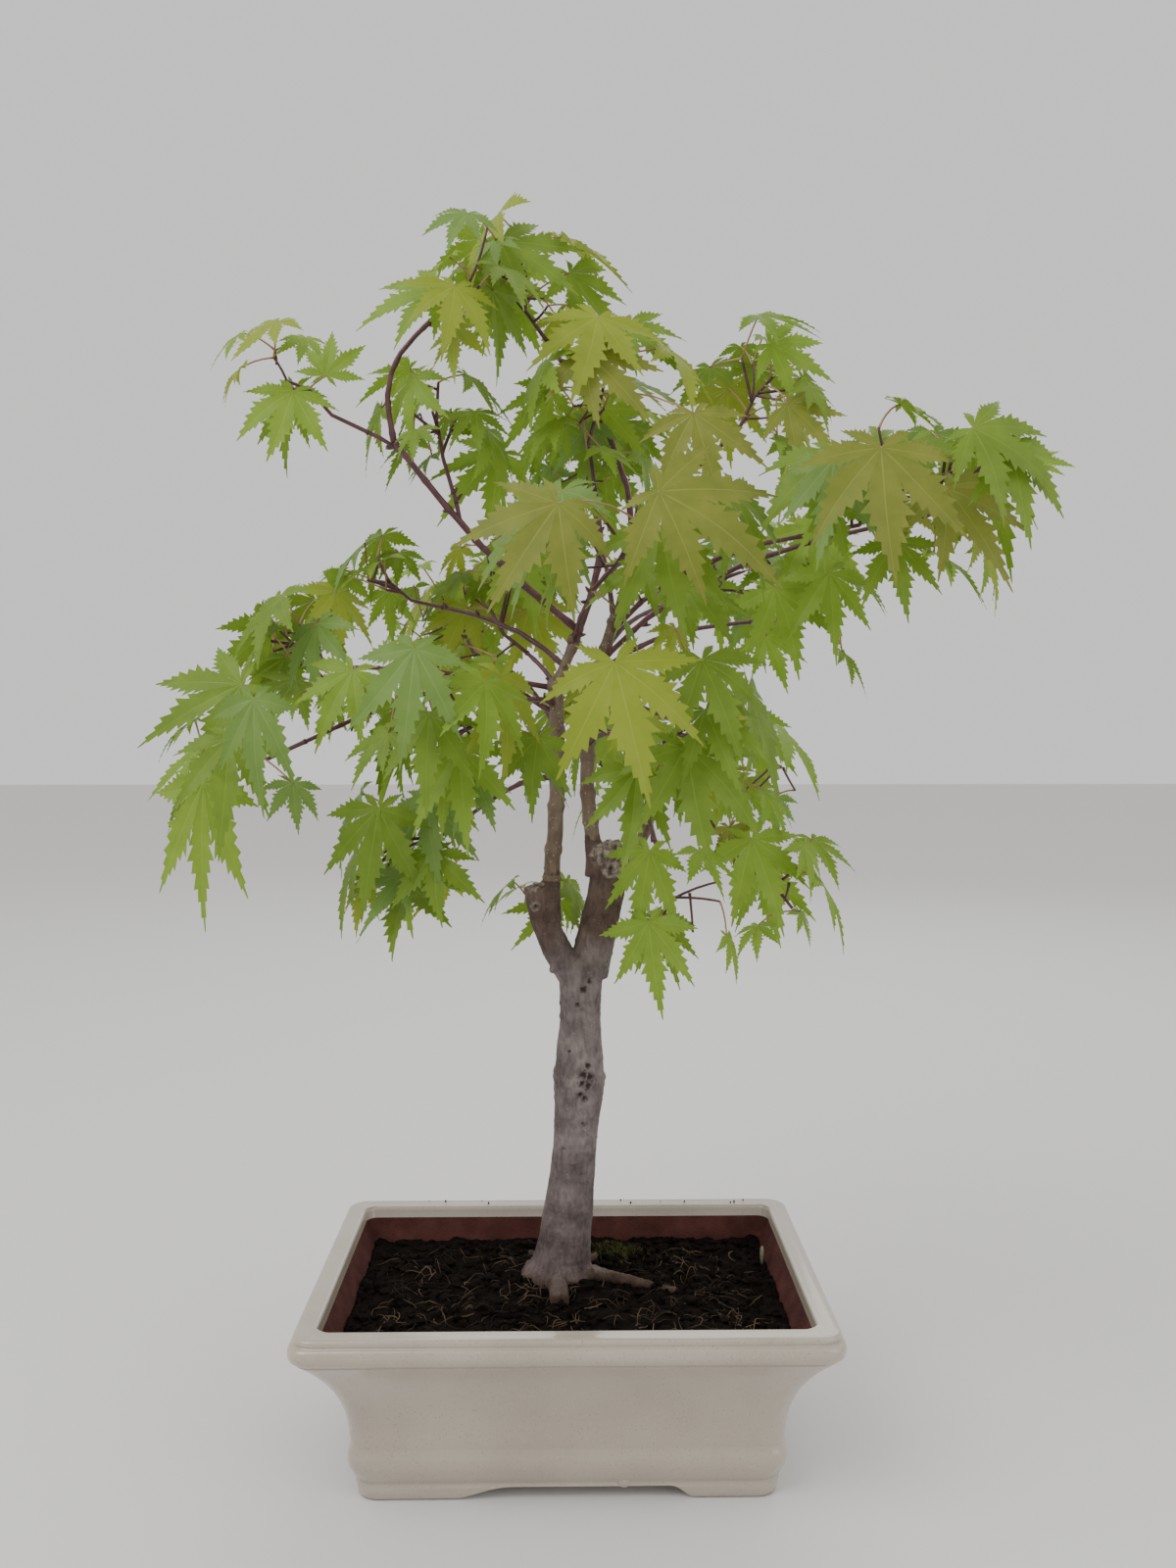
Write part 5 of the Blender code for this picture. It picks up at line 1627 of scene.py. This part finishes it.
@dataclass
class OldWood:
    """The trunk with its surface roots and its two pruned stubs, grown into one skin."""

    branches: dict[str, Branch]
    voxel: float = 0.6
    smoothing: int = 3
    ring_sides: int = 28
    swellings: list[tuple[float, ...]] = field(default_factory=lambda: [
        (-1.4, 16.5, 148.5, 5.2, 7.5), (11.6, 16.0, 147.0, 4.8, 6.5), (6.0, 11.5, 146.0, 5.2, 8.0),
        (-5.6, 15.0, 195.3, 2.2, 1.7), (-6.6, 13.4, 195.6, 1.5, 1.2), (15.2, 14.5, 196.8, 2.4, 1.9),
        (16.6, 12.6, 197.4, 1.5, 1.3), (-10.0, 10.0, 62.0, 6.0, 4.0),
    ])
    calluses: list[tuple[float, ...]] = field(default_factory=lambda: [
        (15.5, 15.5, 244.5, 4.6, 4.6), (24.5, 16.0, 242.0, 4.0, 3.6), (20.0, 24.0, 242.0, 4.5, 4.4),
        (19.0, 12.4, 239.0, 3.4, 3.2), (25.6, 19.0, 236.0, 3.4, 4.0), (13.2, 20.0, 238.0, 3.0, 3.6),
        (18.5, 17.0, 248.6, 3.2, 2.6), (21.4, 20.0, 247.8, 2.6, 2.8), (-13.3, 12.5, 230.2, 3.4, 3.2),
        (-15.4, 15.0, 228.0, 2.8, 3.0), (-13.6, 10.2, 223.4, 2.0, 2.3),
    ])
    pits: list[tuple[float, ...]] = field(default_factory=lambda: [
        (8.8, 7.6, 154.5, 1.4), (7.0, 7.0, 151.2, 1.6), (10.0, 8.2, 149.6, 1.5), (6.2, 6.4, 147.2, 1.2),
        (9.0, 7.4, 146.2, 1.6), (5.4, 6.8, 142.4, 1.2), (7.4, 7.3, 140.4, 1.1), (8.2, 8.2, 128.6, 1.0),
        (6.8, 7.9, 129.0, 0.7), (6.8, 8.8, 187.5, 1.2), (9.4, 8.9, 190.8, 0.9), (4.4, 9.4, 181.0, 0.8),
        (-13.6, 8.4, 223.6, 0.9), (15.6, 8.8, 243.0, 1.6), (18.6, 8.9, 239.4, 1.2), (25.4, 12.6, 241.8, 1.1),
        (12.6, 9.6, 225.0, 0.7), (0.6, 9.6, 160.5, 0.6), (-2.5, 9.8, 118.0, 0.7), (-6.6, 8.0, 96.0, 0.7),
    ])
    pit_depth: float = 0.9
    root_line: float = 66.0
    root_reach: float = 13.0
    callus_relief: float = 0.55

    def line(self, branch: Branch, steps: int) -> tuple[list[Vector], list[float]]:
        """Read a limb's centre line and radius at even steps."""
        shares = [step / (steps - 1) for step in range(steps)]
        return [branch.at(share)[0] for share in shares], [branch.radius(share) for share in shares]

    def blank(self) -> BMesh:
        """Put the overlapping tubes and lumps together."""
        bm = bmesh.new()
        for name, steps in (("trunk", 40), ("left_stub", 12), ("right_stub", 14)):
            sweep(bm, *self.line(self.branches[name], steps), self.ring_sides)
        for name, reach in (("left_stem", 0.22), ("right_stem", 0.16), ("back_stem", 0.3)):
            branch = self.branches[name]
            points = [branch.at(reach * step / 5)[0] for step in range(6)]
            swell = [1.75, 1.45, 1.22, 1.1, 1.03, 0.92]
            radii = [branch.radius(reach * step / 5) * swell[step] for step in range(6)]
            sweep(bm, points, radii, 16)
        for start, middle, end, base, tip in ROOTS:
            first = vector(start).lerp(vector(middle), 0.67)
            second = vector(end).lerp(vector(middle), 0.67)
            points = bezier_line(vector(start), first, second, vector(end), 14)
            radii = [(base + (tip - base) * (step / 13) ** 0.8) / 2 * MM for step in range(14)]
            for step, point in enumerate(points):
                wave = noise.noise_vector(point / 0.012) * 1.3 * MM * min(1.0, step / 3)
                points[step] = point + Vector((wave.x, wave.y, wave.z * 0.4))
            sweep(bm, points, radii, 12)
        for x, y, z, wide, high in (*self.swellings, *self.calluses):
            add_lump(bm, (x, y, z), (wide, wide, high), 0.18, 1.7)
        return bm

    def grow_together(self, bm: BMesh) -> BMesh:
        """Melt the blank into one skin."""
        blank = meshed("wood_blank", bm)
        melt = blank.modifiers.new("melt", "REMESH")
        melt.mode = "VOXEL"
        melt.voxel_size = self.voxel * MM
        fresh = settled(blank)
        for _ in range(self.smoothing):
            bmesh.ops.smooth_vert(
                fresh, verts=fresh.verts, factor=0.5, use_axis_x=True, use_axis_y=True, use_axis_z=True,
            )
        return fresh

    def relief(self, place: Vector) -> float:
        """Give the bark's height over the smooth skin at a place, in metres."""
        lump = noise.noise(place / 0.011) * 0.45
        flat = Vector((place.x / 0.0018, place.y / 0.0018, place.z / 0.007))
        streak = noise.fractal(flat, 0.8, 2.1, 4) * 0.22
        ring = noise.noise(Vector((place.x / 0.02, place.y / 0.02, place.z / 0.0013))) * 0.14
        scar = max(0.0, noise.noise(place / 0.0035 + Vector((9.0, 2.0, 5.0))) - 0.42) * 1.6
        knot = 0.45 * noise.noise(place / 0.0024) * math.exp(-(((place.z / MM - 147.0) / 9.0) ** 2))
        return (lump + streak + ring + scar + knot) * MM - self.pit(place)

    def pit(self, place: Vector) -> float:
        """Give how deep the wounds go at a place, in metres."""
        depth = 0.0
        ragged = 1.0 + 0.7 * noise.noise(place / 0.0009)
        for x, y, z, size in self.pits:
            away = (place - vector((x, y, z))).length / (size * MM) * ragged
            if away < 3.0:
                depth = max(depth, self.pit_depth * MM * math.exp(-away * away))
        return depth

    def callus(self, place: Vector) -> float:
        """Say how far a place is on a callus, from 0 to 1."""
        reach = max(1.35 - (place - vector(lump[:3])).length / (lump[3] * MM) for lump in self.calluses)
        return min(max(reach * 5.0 + noise.noise(place / 0.0015), 0.0), 1.0)

    def root(self, place: Vector) -> float:
        """Say how far a place is on the roots, from 0 to 1."""
        low = (self.root_line - place.z / MM) / 2.5 + noise.noise(place / 0.005)
        away = ((place.xy - vector(TRUNK_FOOT).xy).length / MM - self.root_reach) / 4.0
        return min(max(min(low, away), 0.0), 1.0)

    def build(self, workshop: Workshop) -> None:
        """Make the old wood and put it in its solids' place."""
        bm = self.grow_together(self.blank())
        bm.normal_update()
        marks = {name: bm.verts.layers.float.new(name) for name in ("wound", "callus", "root")}
        moves = []
        for vertex in bm.verts:
            place = vertex.co
            vertex[marks["wound"]] = min(1.5 * self.pit(place) / (self.pit_depth * MM), 1.0)
            vertex[marks["callus"]] = self.callus(place)
            vertex[marks["root"]] = self.root(place)
            rough = noise.fractal(place / 0.0016, 0.7, 2.0, 4) * self.callus_relief * MM
            rough *= vertex[marks["callus"]]
            moves.append((vertex, vertex.normal * (self.relief(place) + rough)))
        for vertex, move in moves:
            vertex.co += move
        low = [vertex for vertex in bm.verts if vertex.co.z < 56 * MM]
        bmesh.ops.delete(bm, geom=low, context="VERTS")
        workshop.piece("old_wood", bm, ("trunk_bark",), "bark", ("trunk", "left_stub", "right_stub"))


@dataclass
class YoungWood:
    """The stems, leaders and boughs, with their nodes and bud scars."""

    branches: dict[str, Branch]
    thick: tuple[str, ...] = ("left_stem", "right_stem", "left_leader", "back_stem")
    node_gap: tuple[float, float] = (11.0, 19.0)
    whorls: tuple[tuple[str, float, float], ...] = (
        ("left_stem", 0.97, 4.3), ("left_stem", 0.60, 3.7), ("left_leader", 0.75, 3.2),
        ("right_stem", 0.52, 3.9), ("right_stem", 0.80, 3.5), ("right_stem", 0.97, 3.4),
    )
    slimmer: float = 0.8
    seed: int = 41

    def lined(self, branch: Branch, rng: random.Random) -> tuple[list[Vector], list[float]]:
        """Read a limb's line at close steps, with a swelling at each node and a slight wander."""
        length = sum((b - a).length for a, b in zip(branch.points, branch.points[1:]))
        steps = max(10, int(length / (1.6 * MM)))
        nodes = []
        at = rng.uniform(3, 8) * MM
        while at < length:
            nodes.append(at)
            at += rng.uniform(*self.node_gap) * MM
        points, radii = [], []
        for step in range(steps):
            share = step / (steps - 1)
            point, _ = branch.at(share)
            radius = branch.radius(share)
            wander = noise.noise_vector(point / 0.014) * min(0.9 * MM, radius * 0.35)
            wander *= math.sin(math.pi * share)
            swell = sum(math.exp(-(((share * length - node) / (1.3 * MM)) ** 2)) for node in nodes)
            points.append(point + wander)
            foot = 0.25 * MM * math.exp(-share * length / (3 * MM))
            radii.append(radius * (1.0 + 0.22 * min(swell, 1.0)) + foot)
        return points, radii

    def buds(self, bm: BMesh, branch: Branch, rng: random.Random, material: int) -> None:
        """Set small buds and broken spurs on a limb."""
        for _ in range(rng.randint(1, 4)):
            along = rng.uniform(0.15, 0.95)
            place, heading = branch.at(along)
            side = Matrix.Rotation(rng.uniform(0, 6.3), 3, heading) @ heading.orthogonal().normalized()
            out = (side + heading * 0.7).normalized()
            radius = branch.radius(along)
            size = rng.uniform(1.6, 4.5) * MM
            points = [place, place + out * (radius + size * 0.5), place + out * (radius + size)]
            girth = min(radius * 0.8, 0.9 * MM)
            sweep(bm, points, [girth, girth * 0.85, girth * 0.35], 6, material)

    def knots(self, bm: BMesh) -> None:
        """Set the lumpy whorls where many boughs leave a stem."""
        rng = random.Random(self.seed)
        for name, along, size in self.whorls:
            place, _ = self.branches[name].at(along)
            for _ in range(5):
                radius = size * rng.uniform(0.55, 0.8) * MM
                made = bmesh.ops.create_icosphere(bm, subdivisions=2, radius=radius)
                shift = random_unit(rng) * size * 0.45 * MM
                for vertex in made["verts"]:
                    rough = 1.0 + 0.35 * noise.noise(vertex.co / 0.0022 + shift * 900)
                    vertex.co = place + shift + Vector((vertex.co.x, vertex.co.y, vertex.co.z * 1.1)) * rough

    def build(self, workshop: Workshop) -> None:
        """Make all thinner limbs as two pieces, brown stems and red shoots."""
        rng = random.Random(self.seed)
        stems, shoots = bmesh.new(), bmesh.new()
        stem_names, shoot_names = [], []
        for name, branch in self.branches.items():
            if name in ("trunk", "left_stub", "right_stub"):
                continue
            bm, names = (stems, stem_names) if name in self.thick else (shoots, shoot_names)
            points, radii = self.lined(branch, rng)
            if name.endswith("_bough"):
                radii = [radius * self.slimmer for radius in radii]
            sweep(bm, points, radii, 12 if name in self.thick else 8)
            self.buds(bm, branch, rng, 0)
            names.append(name)
        self.knots(stems)
        workshop.piece("brown_stems", stems, ("stem_bark",), "bark", stem_names)
        workshop.piece("red_shoots", shoots, ("shoot_bark",), "young_wood", shoot_names)


@dataclass
class LeafPattern:
    """One leaf's fine mesh: seven toothed lobes with their midribs, for a middle lobe of 1."""

    angles: tuple[float, ...] = (0.0, 40.0, -40.0, 81.0, -81.0, 124.0, -124.0)
    lengths: tuple[float, ...] = (1.0, 0.92, 0.92, 0.69, 0.69, 0.31, 0.31)
    wedges: tuple[float, ...] = (20.0, 20.0, 20.0, 20.7, 20.7, 22.0, 22.0)
    teeth: int = 7
    smooth_part: float = 0.34
    half_width: float = 0.150
    taper: float = 1.28
    tooth: float = 0.32
    tooth_forward: float = 0.034
    rib: float = 0.0065
    droop: tuple[float, float] = (0.12, 0.26)
    fold: tuple[float, float] = (0.10, 0.34)

    def rows(self) -> list[tuple[float, float]]:
        """List the rows of a lobe: how far along, and how much the teeth change its width."""
        rows = [(self.smooth_part * step / 3, 0.0) for step in range(4)]
        step = (0.98 - self.smooth_part) / self.teeth
        for tooth in range(self.teeth):
            start = self.smooth_part + 0.02 + step * tooth
            depth = 1.0 if tooth % 2 else 0.6
            rows += [(start, -0.7 * depth), (start + step * 0.55, depth)]
        return [*rows, (1.0, 0.0)]

    def width(self, along: float, wedge: float) -> float:
        """Give a lobe's half width before the teeth, kept to its share of the fan."""
        if along < 0.5:
            wide = self.half_width * (0.56 + 0.88 * along)
        else:
            wide = self.half_width * (2 - 2 * along) ** self.taper * (0.75 + 0.5 * along)
        return min(wide, along * math.tan(math.radians(wedge)))

    def add(self, bm: BMesh, blade: Blade, material: int) -> None:
        """Add one leaf.

        Args:
            bm: The bmesh that the leaf is added to.
            blade: The leaf's place, tone and number.
            material: The material index of its skin; its ribs take the next.
        """
        rng = random.Random(blade.number)
        droop, fold = rng.uniform(*self.droop), rng.uniform(*self.fold)
        rows = self.rows()
        for index, (angle, length, wedge) in enumerate(zip(self.angles, self.lengths, self.wedges)):
            size = length * (rng.uniform(0.86, 1.06) if index else 1.0)
            bend, fall, twist = rng.uniform(-0.2, 0.2), rng.uniform(0.0, 0.22), rng.uniform(-0.7, 0.7)
            made = bmesh.ops.create_grid(bm, x_segments=3, y_segments=len(rows) - 1, size=1.0)["verts"]
            for face in {face for vertex in made for face in vertex.link_faces}:
                face.material_index = material + int(abs(face.calc_center_median().x) < 0.3)
            turn = math.radians(angle)
            forward = Vector((math.sin(turn), math.cos(turn)))
            across = Vector((forward.y, -forward.x))
            for vertex in made:
                column = round((vertex.co.x + 1) * 1.5)
                along, tooth = rows[round((vertex.co.y + 1) / 2 * (len(rows) - 1))]
                half = self.width(along, wedge) * size * (1.0 + self.tooth * tooth)
                rib = min(self.rib * (1.15 - along) * size, half * 0.5)
                side = (-half, -rib, rib, half)[column]
                ahead = along * size + (self.tooth_forward * tooth * size if column in (0, 3) else 0.0)
                past = max(0.0, along - 0.3)
                flat = forward * ahead + across * (side + bend * past * past * size)
                lift = fold * abs(side) + twist * side * past - droop * flat.length_squared - fall * past**2
                vertex.co = blade.matrix @ Vector((flat.x, flat.y, lift))


class Foliage:
    """All twigs, stalks and leaves of the crown."""

    group_limit = 60

    def __init__(self, plan: LimbPlan, room: Room) -> None:
        """Grow every mass: all stems, then the named leaves, then the sprays."""
        coarse = CoarseShapes()
        self.growers = [MassGrower(name, room, plan.carrier(name), coarse) for name in MASSES]
        for grower in self.growers:
            grower.grow_stem()
        for grower in self.growers:
            grower.grow_shown(SHOWN_LEAVES)
        for grower in self.growers:
            grower.grow_sprays()
        LOG.info("leaves by the source's rule: %d", sum(grower.leaves for grower in self.growers))
        for grower in self.growers:
            grower.grow_shown(FINER_LEAVES, RULE.finer_depths)
        for grower in self.growers:
            grower.grow_finer()

    def leaf_groups(self) -> list[list[MassGrower]]:
        """Share the masses out over pieces of a bounded size."""
        groups: list[list[MassGrower]] = [[]]
        for grower in self.growers:
            if sum(len(g.blades) for g in groups[-1]) + len(grower.blades) > self.group_limit:
                groups.append([])
            groups[-1].append(grower)
        return groups

    def build(self, workshop: Workshop) -> None:
        """Make the leaves in a few pieces, then the twigs and the stalks."""
        tones = list(LeafTone)
        finishes = [f"{kind}_{tone.value}" for tone in tones for kind in ("leaf", "vein")]
        pattern = LeafPattern()
        for index, group in enumerate(self.leaf_groups()):
            bm = bmesh.new()
            for grower in group:
                for blade in grower.blades:
                    pattern.add(bm, blade, 2 * tones.index(blade.tone))
            names = [grower.name for grower in group]
            workshop.piece(f"leaves_{index + 1}", bm, finishes, "leaves", names)
        sticks = [stick for grower in self.growers for stick in grower.sticks]
        for kind, finish, slot, sides in (
            ("stem", "shoot_bark", "young_wood", 7), ("twig", "shoot_bark", "young_wood", 6),
            ("petiole", "petiole_skin", "leaves", 5),
        ):
            bm = bmesh.new()
            for stick in sticks:
                if stick.kind == kind:
                    self.add_stick(bm, stick, sides)
            workshop.piece(f"{kind}s", bm, (finish,), slot)

    def add_stick(self, bm: BMesh, stick: Stick, sides: int) -> None:
        """Sweep a stick along a smooth line through its points."""
        if len(stick.points) == 3:
            start, middle, end = stick.points
            control = middle * 2 - (start + end) / 2
            line = [
                start * (1 - t) ** 2 + control * 2 * t * (1 - t) + end * t * t
                for t in (0.0, 0.15, 0.35, 0.6, 0.85, 1.0)
            ]
        else:
            line = []
            for a, b in zip(stick.points, stick.points[1:]):
                line += [a, a.lerp(b, 0.5)]
            line.append(stick.points[-1])
        last = len(line) - 1
        radii = [stick.base + (stick.tip - stick.base) * index / last for index in range(len(line))]
        radii[0] *= 1.25
        if stick.kind == "petiole":
            radii[-1] *= 1.3
        sweep(bm, line, radii, sides)


@dataclass
class Studio:
    """The pale floor, the soft light and the camera at the photograph's place."""

    yaw: float = 0.0155
    pitch: float = 0.0457
    lens: float = 30.6

    def build(self) -> None:
        """Make the stage, the lights and the camera."""
        self.floor()
        self.light("key", (-0.9, -0.7, 1.5), 1.1, 16.0)
        self.light("fill", (1.2, -0.9, 0.8), 1.2, 6.0)
        self.light("back", (0.3, 1.2, 1.2), 1.2, 6.0)
        world = bpy.data.worlds.new("studio")
        world.use_nodes = True
        background = world.node_tree.nodes["Background"]
        background.inputs["Color"].default_value = (0.93, 0.92, 0.91, 1.0)
        background.inputs["Strength"].default_value = 0.92
        bpy.context.scene.world = world
        camera = linked("camera", bpy.data.cameras.new("camera"))
        camera.data.lens = self.lens
        camera.data.sensor_width = 36.0
        camera.data.clip_start = 0.01
        camera.location = CAMERA_PLACE
        camera.rotation_euler = (math.pi / 2 - self.pitch, 0.0, -self.yaw)
        bpy.context.scene.camera = camera

    def floor(self) -> None:
        """Make the pale floor."""
        bm = bmesh.new()
        bmesh.ops.create_grid(bm, x_segments=1, y_segments=1, size=6.0)
        floor = meshed("floor", bm)
        material = bpy.data.materials.new("floor")
        material.use_nodes = True
        shader = material.node_tree.nodes["Principled BSDF"]
        shader.inputs["Base Color"].default_value = (0.72, 0.71, 0.70, 1.0)
        shader.inputs["Roughness"].default_value = 0.75
        floor.data.materials.append(material)

    def light(self, name: str, place: tuple[float, float, float], size: float, power: float) -> None:
        """Hang a square soft light that faces the tree."""
        data = bpy.data.lights.new(name, "AREA")
        data.size = size
        data.energy = power
        lamp = linked(name, data)
        lamp.location = place
        aim = Vector((0.0, 0.0, 0.25)) - Vector(place)
        lamp.rotation_euler = aim.to_track_quat("-Z", "Y").to_euler()


def main() -> None:
    """Build the bonsai's looks in order, from the pot up."""
    logging.basicConfig(level=logging.INFO, format="%(name)s: %(message)s")
    noise.seed_set(NOISE_SEED)
    workshop = Workshop(Palette())
    room = Room()
    plan = LimbPlan(room)
    foliage = Foliage(plan, room)
    GlazedPot().build(workshop)
    SoilBed().build(workshop)
    OldWood(plan.branches).build(workshop)
    YoungWood(plan.branches).build(workshop)
    foliage.build(workshop)
    Studio().build()
    LOG.info("leaves: %d", sum(len(grower.blades) for grower in foliage.growers))


if __name__ == "__main__":
    main()
